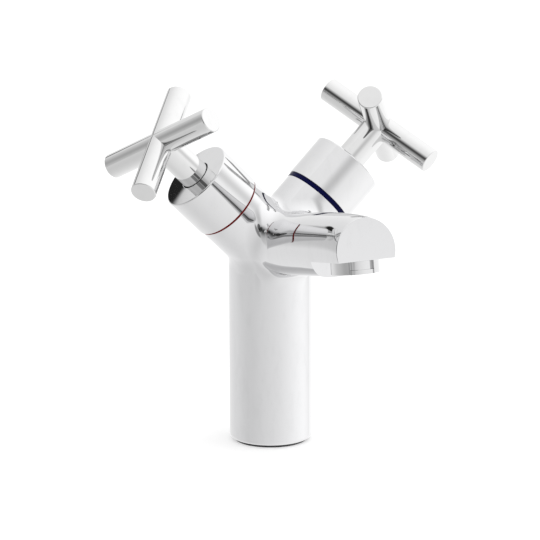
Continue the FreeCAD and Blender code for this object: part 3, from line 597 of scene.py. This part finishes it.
def blind_hole(shell, place, centre, radius, depth, steps):
    """The wall and the roof of a round hole up into a flat underside; returns its rim."""
    ring = spokes(np.linspace(0, 2 * math.pi, steps + 1))
    ring[-1] = ring[0]
    low = ring * radius + centre
    high = low + (0, 0, depth)
    shell.grid(place, np.stack([low, high]), -ring)
    shell.flat(place, [high[:-1]], DOWN)
    return low[:-1][::-1]


def column(shell, rim):
    """The column under the head: a plain round with an eased foot, and the room for the gasket."""
    room, level = GASKET_ROOM
    low = [(room, level), (room, COLUMN_LOW), (COLUMN_RADIUS, COLUMN_LOW)]
    profile = outline([*low, (COLUMN_RADIUS, COLUMN_JOIN - STRIP)], {2: FOOT_EDGE})
    steps = 160
    turned_to_head(shell, UPRIGHT, profile, steps, rim, -1)
    plate = spokes(np.linspace(0, 2 * math.pi, steps + 1)[:-1]) * room + (0, 0, level)
    holes = [
        blind_hole(shell, UPRIGHT, (x, y, level), radius, depth, 48) for x, y, radius, depth in FOOT_HOLES
    ]
    shell.flat(UPRIGHT, [plate, *holes], DOWN)


def arm_end(shell, side, rim):
    """An arm past the head: its last stretch, its shoulder, the spigot and the valve's chamber."""
    place = arm_place(side)
    mouth = SHROUD_FOOT - RING_SHOW[side]
    shoulder = [(ARM_RADIUS, ARM_JOIN + ARM_STRIP), (ARM_RADIUS, mouth), (SPIGOT_RADIUS, mouth)]
    spigot = [(SPIGOT_RADIUS, SPIGOT_TOP), (RING_SEAT[0], SPIGOT_TOP), RING_SEAT]
    chamber = [(CHAMBER[0][0], RING_SEAT[1]), *CHAMBER, (0, CHAMBER[-1][1])]
    profile = outline([*shoulder, *spigot, *chamber], {1: ARM_EDGE, 3: SPIGOT_EDGE})
    turned_to_head(shell, place, profile, 144, rim, 0)


def section_point(along, angle, reach, centre):
    """A point of the spout's frame: a reach out from the centre's height, at an angle from x."""
    return np.stack(np.broadcast_arrays(reach * np.cos(angle), along, centre + reach * np.sin(angle)), -1)


def round_at(along, angle):
    """A point of the spout's round, at a distance along it and an angle."""
    return section_point(along, angle, *spout_round(along))


def belly_at(along, angle):
    """A point of the spout's lower skin: out from the round's centre at an angle, to where the
    distance to the round and the flat under it as one is 0, found by halving the reach."""
    radius, centre = spout_round(along)
    low, high = 0.5 * radius + 0 * angle, radius + 0 * angle
    for _ in range(44):
        reach = (low + high) / 2
        height = centre + reach * np.sin(angle)
        inside = eased_belly(reach - radius, BELLY_FLOOR - height) < 0
        low, high = np.where(inside, reach, low), np.where(inside, high, reach)
    return section_point(along, angle, low, centre)


def facing(skin, along, angle):
    """The normal of one of these two surfaces, square to its slopes along and around the spout."""
    step = 1e-3
    slide = skin(along + step, angle) - skin(along - step, angle)
    around = skin(along, angle + step) - skin(along, angle - step)
    return unit(np.cross(slide, around))


def corner_angle(along, height, inset=0.0):
    """The angle at which the round stands at a height, on the cold side."""
    radius, centre = spout_round(along)
    return np.arcsin(np.clip((height - centre) / (radius - inset), -1, 1))


TOP_SHARES = np.linspace(0, 1, 121)
BELLY_SHARES = np.linspace(0, 1, 97)


def upper_angles(along):
    """Angles over the spout's top, from the level of its flat on the cold side to the hot side."""
    start = corner_angle(along, CHORD)[..., None]
    return start + (math.pi - 2 * start) * TOP_SHARES


def lower_angles(along):
    """Angles under the spout, between the same two places."""
    start = corner_angle(along, CHORD)[..., None]
    return start - (math.pi + 2 * start) * BELLY_SHARES


def nose_rows():
    """Distances along the spout for its rows: close at the face, then one on each millimetre."""
    return np.array([FACE_EASING, 0.7, 1.2, 2.0, *np.arange(3.0, SPOUT_JOIN)])


def spout_top(shell):
    """The round above the level of the flat underside, its eased front edge, and the end face."""
    rows = nose_rows()
    along, angle = rows[:, None], upper_angles(rows)
    shell.grid(SPOUT, round_at(along, angle), facing(round_at, along, angle))
    turn = np.linspace(0, math.pi / 2, 6)[:, None]
    inset = FACE_EASING * (1 - np.cos(turn))
    along = FACE_EASING * (1 - np.sin(turn))
    low = corner_angle(FACE_EASING, CHORD + inset, inset)
    angle = low + (math.pi - 2 * low) * TOP_SHARES
    radius, centre = spout_round(FACE_EASING)
    edge = section_point(along, angle, radius - inset, centre)
    spoke = facing(round_at, FACE_EASING + 0 * angle, angle)
    leaning = unit(spoke * np.cos(turn)[..., None] + FRONT * np.sin(turn)[..., None])
    shell.grid(SPOUT, edge, leaning)
    down = DOWN * np.cos(turn)[..., None] + FRONT * np.sin(turn)[..., None]
    shell.grid(SPOUT, edge[:, [0, -1]], down)
    shell.flat(SPOUT, [edge[-1]], FRONT)


def eased_belly(round_side, floor):
    """The distance to the spout's round and to the flat under it as one, with a soft edge between."""
    depth = np.maximum(BELLY_BLEND - np.abs(round_side - floor), 0)
    return np.maximum(round_side, floor) + depth**2 / (4 * BELLY_BLEND)


def belly(shell):
    """The spout's lower skin behind the nose, and the plain face that ends it behind the aerator,
    which leans back from its upper edge."""
    rows = np.arange(BELLY_FRONT, SPOUT_JOIN)
    angle = lower_angles(rows)
    back = np.zeros(angle.shape[1])
    for _ in range(3):
        back = (CHORD - belly_at(BELLY_FRONT + back, angle[0])[:, 2]) * math.tan(BELLY_LEAN)
    share = ((rows - rows[0]) / (rows[-1] - rows[0]))[:, None]
    along = rows[:, None] + back * (1 - share)
    points = belly_at(along, angle)
    shell.grid(SPOUT, points, facing(belly_at, along, angle))
    shell.flat(SPOUT, [points[0]], (0, -math.cos(BELLY_LEAN), -math.sin(BELLY_LEAN)))


def underside(shell):
    """The flat under the nose, with the socket that the aerator screws into."""
    rows = nose_rows()
    rows = rows[rows <= BELLY_FRONT]
    cold = round_at(rows, corner_angle(rows, CHORD))
    hot = cold[::-1] * np.array([-1.0, 1, 1])
    socket = blind_hole(shell, SPOUT, (0, SOCKET_AT, CHORD), SOCKET_RADIUS, SOCKET_DEPTH, 96)
    shell.flat(SPOUT, [np.concatenate([cold, hot]), socket], DOWN)


def spout_end_loop():
    """The spout's section where its own grids stop, with normals and angles about its middle."""
    end = np.array(SPOUT_JOIN - STRIP)
    upper, lower = upper_angles(end), lower_angles(end)[1:-1]
    points = np.concatenate([round_at(end, upper), belly_at(end, lower)])
    normals = np.concatenate([facing(round_at, end, upper), facing(belly_at, end, lower)])
    angles = np.arctan2(points[:, 2], points[:, 0])
    return SPOUT.point(points), SPOUT.turn(normals), angles


def tap_body():
    """The one-piece casting: column, head, arms with their spigots, and spout."""
    shell = Shell()
    foot_rim, hot_rim, cold_rim, spout_rim = head(shell)
    column(shell, foot_rim)
    arm_end(shell, "hot", hot_rim)
    arm_end(shell, "cold", cold_rim)
    spout_top(shell)
    belly(shell)
    underside(shell)
    local = SPOUT.local(spout_rim[0])
    shell.bridge(spout_end_loop(), (*spout_rim, np.arctan2(local[:, 2], local[:, 0])))
    return shell.make("body_casting", "root", "chrome_body", "tap_body")


# --- rings, sleeves, handles, aerator collar ---


def sleeve(side):
    """The plain sleeve: a round wall under a barely crowned lid with an eased edge and a hole for the
    stem."""
    shell = Shell()
    outside = [(SHROUD_RADIUS, SHROUD_FOOT), (SHROUD_RADIUS, SHROUD_TOP - LID_CROWN), (LID_HOLE, SHROUD_TOP)]
    ceiling = SHROUD_TOP - SHROUD_LID
    foot = (SHROUD_BORE, SHROUD_FOOT)
    profile = outline(
        [foot, *outside, (LID_HOLE, ceiling), (SHROUD_BORE, ceiling), foot],
        {1: SHROUD_FOOT_EDGE, 2: LID_EDGE, 3: LID_HOLE_EDGE},
    )
    turned(shell, arm_place(side), profile, steps=160)
    return shell.make(f"{side}_sleeve", "root", "chrome_trim", f"{side}_shroud")


def colour_ring(side):
    """The coloured index ring, a flat band with softened edges."""
    shell = Shell()
    low = SHROUD_FOOT - RING_SHOW[side]
    inner, outer = SPIGOT_RADIUS + RING_GAP, SHROUD_RADIUS - RING_SET_IN
    profile = outline(
        [(inner, low), (outer, low), (outer, SHROUD_FOOT), (inner, SHROUD_FOOT), (inner, low)],
        {1: RING_EDGE, 2: RING_EDGE},
    )
    turned(shell, arm_place(side), profile, steps=144)
    slot = "index_red" if side == "hot" else "index_blue"
    return shell.make(f"{side}_colour_ring", "root", slot, f"{side}_index_ring")


def rod_start(angle):
    """How far from the stem's axis a rod's surface starts, at an angle round the rod from its top:
    at the mitre with the next rod, or underneath at the stem's wall."""
    across = np.abs(ROD_RADIUS * np.sin(angle))
    wall = np.sqrt(np.maximum(STEM_RADIUS**2 - across**2, 0))
    return np.where(np.cos(angle) < 0, np.maximum(across, wall), across)


def rod_angles():
    """Angles round a rod from its top, with one on each corner of its start."""
    corner = math.pi - math.asin(STEM_RADIUS / math.sqrt(2) / ROD_RADIUS)
    upper = np.linspace(-corner, corner, 81)
    lower = np.linspace(corner, 2 * math.pi - corner, 41)
    return upper, lower


def rod_point(angle, out, radius=ROD_RADIUS):
    """A point of the rod along +x, at an angle round it from its top."""
    return np.stack(np.broadcast_arrays(out, radius * np.sin(angle), radius * np.cos(angle)), -1)


def quarter(points, number):
    """Points or directions turned by a number of quarter turns about z."""
    for _ in range(number):
        points = np.stack([-points[..., 1], points[..., 0], points[..., 2]], -1)
    return points


def cross(side):
    """The cross handle: four round arms that meet in sharp mitres, on a stem with a bore for the
    spindle and a side hole for the grub screw."""
    shell = Shell()
    place = arm_place(side, HANDLE_TURN[side])
    centre = Place(place.point((0, 0, CROSS_HEIGHT)), *place.axes)
    upper, lower = rod_angles()
    joint = []
    for number in range(4):
        for angles in (upper, lower):
            start = rod_start(angles)
            share = np.array([0, 0.15, 0.4, 0.7, 1.0])[:, None]
            out = start + (ROD_HALF - ROD_EASING - start) * share
            spoke = rod_point(angles, 0.0, 1.0)
            wall = rod_point(angles, out)
            turn = np.linspace(0, math.pi / 2, 7)[1:, None]
            out = ROD_HALF - ROD_EASING * (1 - np.sin(turn))
            end = rod_point(angles, out, ROD_RADIUS - ROD_EASING * (1 - np.cos(turn)))
            lean = spoke * np.cos(turn)[..., None] + np.array([1.0, 0, 0]) * np.sin(turn)[..., None]
            points = np.concatenate([wall, end])
            facing = np.concatenate([np.broadcast_to(spoke, wall.shape), lean])
            shell.grid(centre, quarter(points, number), quarter(facing, number))
            if angles is lower:
                joint.append(quarter(wall[0], number))
        every = np.concatenate([upper[:-1], lower[:-1]])
        cap = quarter(rod_point(every, ROD_HALF, ROD_RADIUS - ROD_EASING), number)
        shell.flat(centre, [cap], quarter(np.array([1.0, 0, 0]), number))
    joint = np.concatenate(joint)
    angle = np.arctan2(joint[:, 1], joint[:, 0])
    angle, first = np.unique(np.round(angle, 9), return_index=True)
    stem(shell, centre, angle, joint[first])
    return shell.make(f"{side}_cross", f"{side}_handle", "chrome_handle", f"{side}_cross_handle")


def stem(shell, centre, angle, top):
    """The stem from its joint with the rods down, with a round hole through its wall on the
    diagonal, and the bore for the spindle up its middle."""
    hole_z = GRUB_HEIGHT - CROSS_HEIGHT
    low_z = STEM_LOW - CROSS_HEIGHT
    half_angle, half_height = GRUB_PATCH
    middle = math.pi / 4
    edges = angle[np.abs(angle - middle) < half_angle]
    rise = np.linspace(hole_z - half_height, hole_z + half_height, 13)
    tops = np.append(top[:, 2], top[0, 2])

    def band(columns, low, high, steps):
        """The stem's wall over these angles, between two levels."""
        share = np.linspace(0, 1, steps)[:, None]
        height = low + (high - low) * share + 0 * columns[None]
        ring = spokes(columns)
        points = ring * STEM_RADIUS + height[..., None] * UP
        shell.grid(centre, points, ring)

    wrapped = np.append(angle, angle[0] + 2 * math.pi)
    band(wrapped, low_z + STEM_RIM, rise[0], 3)
    first, last = edges[0], edges[-1]
    rest = np.concatenate([angle[angle >= last], angle[angle <= first] + 2 * math.pi])
    band(rest, rise[0], rise[-1], len(rise))
    band(wrapped, rise[-1], tops, 5)
    border = np.concatenate(
        [
            np.stack([edges - middle, 0 * edges + rise[0]], -1)[:-1],
            np.stack([0 * rise + last - middle, rise], -1)[:-1],
            np.stack([edges - middle, 0 * edges + rise[-1]], -1)[::-1][:-1],
            np.stack([0 * rise + first - middle, rise], -1)[::-1],
        ]
    )
    outer = np.stack([STEM_RADIUS * np.sin(border[:, 0]), border[:, 1] - hole_z], -1)
    inner = GRUB_HOLE_RADIUS * outer / np.linalg.norm(outer, axis=1, keepdims=True)
    share = np.linspace(0, 1, 7)[:, None, None]
    patch = outer[None] * (1 - share) + inner[None] * share
    patch[:, -1] = patch[:, 0]
    depth = np.sqrt(STEM_RADIUS**2 - patch[..., 0] ** 2)
    out, across = spokes(np.array([middle, middle + math.pi / 2]))
    facing = depth[..., None] * out + patch[..., :1] * across
    points = facing + (patch[..., 1:] + hole_z) * UP
    shell.grid(centre, points, unit(facing))
    deep = points[-1] - (depth[-1] - GRUB_HOLE_FLOOR)[:, None] * out
    inward = -unit(patch[-1, :, :1] * across + patch[-1, :, 1:] * UP)
    shell.grid(centre, np.stack([points[-1], deep]), inward)
    shell.flat(centre, [deep[:-1]], out)
    bore, bore_top = SPLINE_BORE
    blind_end = bore_top - CROSS_HEIGHT
    foot = [(bore, low_z), (STEM_RADIUS, low_z), (STEM_RADIUS, low_z + STEM_RIM)]
    profile = outline([(0, blind_end), (bore, blind_end), *foot], {3: STEM_EDGE})
    turned(shell, centre, profile, angles=wrapped)


def aerator_collar():
    """The ring that hangs under the nose, with two spanner notches over a low ledge, and the
    threaded part of it inside the socket."""
    shell = Shell()
    low = -COLLAR_DROP
    ledge_top = low + LEDGE_HEIGHT
    lip_top = low + MOUTH_LIP
    deep = COLLAR_RADIUS - NOTCH_CUT
    shallow = COLLAR_RADIUS - LEDGE_CUT
    mouth = [(MOUTH_RADIUS, low), (deep, low), (shallow, low)]
    rim = [(COLLAR_RADIUS, low), (COLLAR_RADIUS, ledge_top), (COLLAR_RADIUS, 0)]
    step = [(shallow, ledge_top), (deep, ledge_top), (deep, 0)]
    inside = [(HOUSING_RADIUS, 0), (HOUSING_RADIUS, HOUSING_TOP), (HOUSING_BORE, HOUSING_TOP)]
    inside += [(HOUSING_BORE, lip_top), (MOUTH_RADIUS, lip_top), (MOUTH_RADIUS, low)]
    full = outline([*mouth, *rim, *inside], {3: COLLAR_EDGE})
    notched = outline([*mouth, *step, *inside])
    rounded, _ = outline([mouth[-1], *rim, (HOUSING_RADIUS, 0)], {1: COLLAR_EDGE})
    edge = np.concatenate([rounded, step[::-1]])
    apart = np.linalg.norm(np.diff(edge, axis=0), axis=1) > 1e-6
    edge = edge[np.append(True, apart)]
    for half in (0, 180):
        for profile, start, span, sign in (
            (notched, NOTCH_START, NOTCH_SPAN, 1),
            (full, NOTCH_START + NOTCH_SPAN, 180 - NOTCH_SPAN, -1),
        ):
            angle = math.radians(start + half)
            turned(shell, AERATOR, profile, start=angle, span=math.radians(span), steps=int(span / 2))
            spoke, side = spokes(np.array([angle, angle + math.pi / 2]))
            wall = edge[:, :1] * spoke + edge[:, 1:] * UP
            shell.flat(AERATOR, [wall], side * sign)
    return shell.make("aerator_collar", "root", "chrome_trim", "aerator_housing")


# --- materials ---


def operator(operation, swapped=False):
    """An operator of ordinary arithmetic that adds one Math node."""

    def result(first, second):
        """The node's result, for a signal and a signal or number."""
        inputs = {0: second, 1: first} if swapped else {0: first, 1: second}
        return first.finish.node("ShaderNodeMath", {"operation": operation}, inputs)["Value"]

    return result


class Signal:
    """A node socket that takes part in ordinary arithmetic."""

    def __init__(self, finish, socket):
        self.finish = finish
        self.socket = socket

    __add__ = __radd__ = operator("ADD")
    __sub__ = operator("SUBTRACT")
    __rsub__ = operator("SUBTRACT", swapped=True)
    __mul__ = __rmul__ = operator("MULTIPLY")
    __truediv__ = operator("DIVIDE")
    __pow__ = operator("POWER")

    def smooth(self, low, high):
        """0 below one value, 1 above the other, and an even rise between them."""
        inputs = {"Value": self, "From Min": low, "From Max": high}
        return self.finish.node("ShaderNodeMapRange", {"interpolation_type": "SMOOTHSTEP"}, inputs)["Result"]


class Outputs:
    """A node's outputs by name or number, as signals."""

    def __init__(self, finish, node):
        self.finish = finish
        self.bpy_node = node

    def __getitem__(self, name):
        return Signal(self.finish, self.bpy_node.outputs[name])


class Finish:
    """A node tree being written: node() adds any node with its settings, then its inputs."""

    def __init__(self, owner):
        owner.use_nodes = True
        self.owner = owner
        self.tree = owner.node_tree
        self.tree.nodes.clear()

    def node(self, kind, settings=None, inputs=None):
        """A new node; an input that is a signal is linked, and any other is set."""
        node = self.tree.nodes.new(kind)
        for name, value in (settings or {}).items():
            setattr(node, name, value)
        for name, value in (inputs or {}).items():
            if isinstance(value, Signal):
                self.tree.links.new(value.socket, node.inputs[name])
            else:
                node.inputs[name].default_value = value
        return Outputs(self, node)

    def place(self, scale=(1, 1, 1)):
        """Object coordinates in metres, stretched."""
        where = self.node("ShaderNodeTexCoord")["Object"]
        return self.node("ShaderNodeMapping", {}, {"Vector": where, "Scale": scale})["Vector"]

    def noise(self, scale, detail=3.0, rough=0.5, where=None):
        """Noise from 0 to 1, at a number of grains to the metre."""
        inputs = {"Scale": scale, "Detail": detail, "Roughness": rough}
        inputs["Vector"] = where or self.place()
        return self.node("ShaderNodeTexNoise", {}, inputs)["Fac"]

    def mixed(self, share, first, second):
        """A colour between two, by a share."""
        inputs = {0: share, 6: (*first, 1), 7: (*second, 1)}
        return self.node("ShaderNodeMix", {"data_type": "RGBA"}, inputs)[2]

    def surface(self, colour, roughness, relief, **more):
        """Ends the tree with the main shader: its colour, roughness, and relief as a height, a
        strength and a distance in metres. In the names of other inputs low lines stand for spaces."""
        bump = self.node("ShaderNodeBump", {}, dict(zip(("Height", "Strength", "Distance"), relief)))
        inputs = {"Base Color": colour, "Roughness": roughness, "Normal": bump["Normal"]}
        inputs |= {name.replace("_", " "): value for name, value in more.items()}
        shader = self.node("ShaderNodeBsdfPrincipled", {}, inputs)["BSDF"]
        self.node("ShaderNodeOutputMaterial", {}, {"Surface": shader})
        return self.owner


def new_finish(name):
    """A new material, ready for its nodes."""
    return Finish(bpy.data.materials.new(name))


def tint(colour, strength):
    """A colour made stronger or weaker."""
    return [strength * part for part in colour]


def chrome(finish, colour, haze):
    """Bright chrome plate: the faint swell of the polished metal under it, and a film of fine
    wiping marks that dulls it a little in places."""
    swell = finish.noise(55.0, 1.0)
    film = finish.noise(210.0, 4.0, 0.6, finish.place((1.0, 1.0, 0.35)))
    dull = film.smooth(0.45, 0.75)
    tone = finish.mixed(dull, colour, tint(colour, 0.97))
    return finish.surface(tone, haze + dull * (0.6 * haze), (swell, 0.12, 0.0002), Metallic=1.0)


def enamel(finish, colour):
    """The index ring's coloured lacquer, with a slight cloud in it."""
    cloud = finish.noise(420.0, 3.0)
    tone = finish.mixed(cloud, colour, tint(colour, 0.7))
    grain = finish.noise(1800.0, 2.0)
    return finish.surface(tone, 0.22 + cloud * 0.1, (grain, 0.08, 0.0001), Specular_IOR_Level=0.05)


def rubber(finish, colour):
    """Black moulded rubber: a fine matt grain and a pale bloom."""
    bloom = finish.noise(160.0, 5.0, 0.65).smooth(0.4, 0.8)
    grain = finish.noise(3200.0, 2.0)
    tone = finish.mixed(bloom, colour, tint(colour, 2.2))
    return finish.surface(tone, 0.62 + grain * 0.2, (grain, 0.35, 0.0001))


def turned_brass(finish):
    """Machined brass: fine tool rings, and a browner tone where it has dulled."""
    rings = finish.node(
        "ShaderNodeTexWave",
        {"wave_type": "BANDS", "bands_direction": "Z"},
        {"Vector": finish.place(), "Scale": 1400.0, "Distortion": 0.6, "Detail": 2.0},
    )["Fac"]
    dull = finish.noise(140.0, 4.0).smooth(0.4, 0.7)
    tone = finish.mixed(dull, (0.72, 0.5, 0.2), (0.52, 0.34, 0.13))
    return finish.surface(tone, 0.22 + dull * 0.15, (rings, 0.15, 0.0001), Metallic=1.0)


def ceramic(finish):
    """Lapped white ceramic with a very fine fleck."""
    fleck = finish.noise(2600.0, 2.0)
    tone = finish.mixed(fleck, (0.86, 0.85, 0.81), (0.76, 0.75, 0.71))
    return finish.surface(tone, 0.12 + fleck * 0.1, (fleck, 0.05, 0.0001))


def plastic(finish, colour):
    """Moulded plastic: an even satin grain with slight clouds of tone."""
    cloud = finish.noise(90.0, 3.0)
    grain = finish.noise(2400.0, 2.0)
    tone = finish.mixed(cloud, colour, tint(colour, 0.86))
    return finish.surface(tone, 0.36 + grain * 0.14, (grain, 0.12, 0.0001))


def stainless(finish):
    """Bright stainless steel with a fine brushed drag."""
    drag = finish.noise(900.0, 3.0, 0.6, finish.place((1.0, 0.06, 1.0)))
    tone = finish.mixed(drag, (0.6, 0.59, 0.57), (0.5, 0.49, 0.48))
    return finish.surface(tone, 0.24 + drag * 0.14, (drag, 0.1, 0.0001), Metallic=1.0)


FINISHES = {
    "chrome_body": (chrome, (0.7, 0.7, 0.708), 0.03),
    "chrome_trim": (chrome, (0.7, 0.7, 0.705), 0.026),
    "chrome_handle": (chrome, (0.7, 0.7, 0.7), 0.022),
    "index_red": (enamel, (0.17, 0.002, 0.002)),
    "index_blue": (enamel, (0.001, 0.002, 0.045)),
    "gasket_rubber": (rubber, (0.022, 0.022, 0.023)),
    "seal_rubber": (rubber, (0.018, 0.018, 0.018)),
    "brass": (turned_brass,),
    "disc_ceramic": (ceramic,),
    "glide_plastic": (plastic, (0.82, 0.82, 0.8)),
    "insert_plastic": (plastic, (0.74, 0.74, 0.73)),
    "stainless": (stainless,),
}
MATERIALS = {name: made_by(new_finish(name), *tones) for name, (made_by, *tones) in FINISHES.items()}


def dress(piece, slot):
    """Gives a piece the material of a slot."""
    piece.data.materials.clear()
    piece.data.materials.append(MATERIALS[slot])


pieces = [tap_body(), aerator_collar()]
for side in SIDES:
    pieces += [sleeve(side), colour_ring(side), cross(side)]
for piece in pieces:
    dress(piece, piece["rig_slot"])

INNER_FINISHES = {
    "gasket_rubber": ["base_gasket"],
    "seal_rubber": ["aerator_washer", "seat_seal", "spindle_rings", "housing_ring"],
    "insert_plastic": ["aerator_insert"],
    "glide_plastic": ["glide_washer"],
    "disc_ceramic": ["fixed_disc", "moving_disc"],
    "brass": ["cartridge_housing", "spindle"],
    "stainless": ["aerator_screen", "circlip", "grub_screw"],
}
for slot, names in INNER_FINISHES.items():
    for name in names:
        for node_name in (name, f"hot_{name}", f"cold_{name}"):
            if node_name in nodes:
                dress(nodes[node_name], slot)


# --- floor, light and camera ---


def stage_floor():
    """A plain pale floor, white to the camera through a little light of its own, which keeps the
    tap's shadow."""
    half = 3.0
    mesh = bpy.data.meshes.new("studio_floor")
    corners = [(-half, -half, 0), (half, -half, 0), (half, half, 0), (-half, half, 0)]
    mesh.from_pydata(corners, [], [(0, 1, 2, 3)])
    floor = bpy.data.objects.new("studio_floor", mesh)
    floor.visible_glossy = False
    bpy.context.scene.collection.objects.link(floor)
    finish = new_finish("studio_floor")
    seen = finish.node("ShaderNodeLightPath")["Is Camera Ray"]
    paint = finish.node("ShaderNodeBsdfDiffuse", {}, {"Color": (0.8, 0.8, 0.8, 1)})["BSDF"]
    white = {"Color": (1, 1, 1, 1), "Strength": seen * 0.3}
    glow = finish.node("ShaderNodeEmission", {}, white)["Emission"]
    both = finish.node("ShaderNodeAddShader", {}, {0: paint, 1: glow})["Shader"]
    finish.node("ShaderNodeOutputMaterial", {}, {"Surface": both})
    mesh.materials.append(finish.owner)


def lamp(name, size, power, place, aim):
    """A soft rectangular lamp that looks at a point and isn't mirrored in the chrome."""
    data = bpy.data.lights.new(name, "AREA")
    data.shape = "RECTANGLE"
    data.size, data.size_y = size
    data.energy = power
    light = bpy.data.objects.new(name, data)
    light.location = place
    light.rotation_euler = (Vector(aim) - Vector(place)).to_track_quat("-Z", "Y").to_euler()
    light.visible_glossy = False
    bpy.context.scene.collection.objects.link(light)


def toward(azimuth, elevation):
    """A direction: azimuth from the front towards the cold side, elevation upwards, in degrees."""
    azimuth, elevation = math.radians(azimuth), math.radians(elevation)
    level = math.cos(elevation)
    return (level * math.sin(azimuth), -level * math.cos(azimuth), math.sin(elevation))


# Patches of painted shade that only the chrome mirrors, and one of painted light where the last
# number is less than 0: azimuth and elevation of the middle, half width and half height in degrees,
# tilt, softness, and how much of the light each takes away, or adds where it is less than 0.
PAINTED_REFLECTION_PATCHES = {
    "painted_shade_left_broad": (-77, 19, 34, 15, -3, 0.95, 0.92),
    "painted_shade_front_left": (-33, 12, 19, 8.5, 8, 0.13, 0.79),
    "painted_shade_left_narrow": (-53, 14, 12.5, 13, 0, 0.27, 0.8),
    "painted_shade_back_left_wide": (-115, 12, 51, 23, 3, 0.14, 0.21),
    "painted_shade_back_left_small": (-166, 10, 14, 11, 64, 0.2, 0.5),
    "painted_shade_front_right_tall": (26, 20, 10.5, 55, 77, 0.86, 0.37),
    "painted_shade_low_left_band": (-46, -5, 39, 6, 5, 0.24, 0.63),
    "painted_shade_high_back_bar": (-167, 21.5, 6, 2, 0, 0.25, 0.97),
    "painted_light_low_back": (-146, -16, 45, 31, 45, 0.81, -0.43),
}


def studio_world():
    """A white room for the camera and for plain surfaces. Only mirrored rays see painted reflections in it:
    brightest to the cold side and overhead, greyer to the hot side and below, with a few soft patches
    of painted shade and one of painted light."""
    world = bpy.data.worlds.new("studio")
    bpy.context.scene.world = world
    finish = Finish(world)
    way = finish.node("ShaderNodeTexCoord")["Generated"]
    parts = finish.node("ShaderNodeSeparateXYZ", {}, {"Vector": way})
    x, y, z = parts["X"], parts["Y"], parts["Z"]
    # The painted reflection's level, and what it gains to the cold side (x), to the back (y) and upwards
    # (z).
    light = 0.94 + x * (0.3 + x * 0.155 + y * 0.08) + y * (z * 0.075 - 0.106) + z * (0.14 + z * 0.19)

    def along(direction):
        """How far each mirrored direction goes along another one."""
        inputs = {0: way, 1: direction}
        return finish.node("ShaderNodeVectorMath", {"operation": "DOT_PRODUCT"}, inputs)["Value"]

    # Each patch is painted shade in the chrome's reflections, or painted light where its share is below 0.
    for azimuth, elevation, wide, high, tilt, soft, share in PAINTED_REFLECTION_PATCHES.values():
        middle = toward(azimuth, elevation)
        level = np.array(toward(azimuth + 90, 0))
        upward = np.array(toward(azimuth, elevation + 90))
        cos, sin = math.cos(math.radians(tilt)), math.sin(math.radians(tilt))
        across = along(tuple(cos * level + sin * upward)) / math.sin(math.radians(wide))
        rise = along(tuple(cos * upward - sin * level)) / math.sin(math.radians(high))
        away = (across * across + rise * rise) ** 0.5
        dark = (1 - away.smooth(1 - soft, 1 + soft)) * along(middle).smooth(0.0, 0.02)
        light = light * (1 - dark * share)
    # Mirrored rays see the painted reflections. Camera rays and all other rays see plain white.
    shares = {0: finish.node("ShaderNodeLightPath")["Is Glossy Ray"]}
    for number, strength in ((1, 1.0), (2, light)):
        white = {"Color": (1, 1, 1, 1), "Strength": strength}
        shares[number] = finish.node("ShaderNodeBackground", {}, white)["Background"]
    mix = finish.node("ShaderNodeMixShader", {}, shares)["Shader"]
    finish.node("ShaderNodeOutputWorld", {}, {"Surface": mix})


def camera():
    """The camera of the photograph, from its direction, distance and focal length."""
    azimuth, elevation, roll = -26.84, 12.21, math.radians(-0.18)
    distance, look_z, pan = 1.42138, 0.09406, -0.00016
    back = Vector(toward(azimuth, elevation))
    right = Vector(toward(azimuth + 90, 0))
    up = back.cross(right)
    tilted_right = math.cos(roll) * right + math.sin(roll) * up
    tilted_up = math.cos(roll) * up - math.sin(roll) * right
    data = bpy.data.cameras.new("photo_camera")
    focus_in_frame_widths = 2626.75 / 540
    data.lens = focus_in_frame_widths * data.sensor_width
    data.clip_start = 0.05
    eye = bpy.data.objects.new("photo_camera", data)
    where = Vector((0, 0, look_z)) + back * distance + right * pan
    turn = Matrix((tilted_right, tilted_up, back)).transposed()
    eye.matrix_world = Matrix.Translation(where) @ turn.to_4x4()
    bpy.context.scene.collection.objects.link(eye)
    bpy.context.scene.camera = eye


stage_floor()
studio_world()
lamp("soft_overhead", (1.2, 1.2), 6.0, (0.4, -0.5, 1.6), (0, 0, 0.1))
camera()
bpy.context.scene.view_settings.view_transform = "Standard"
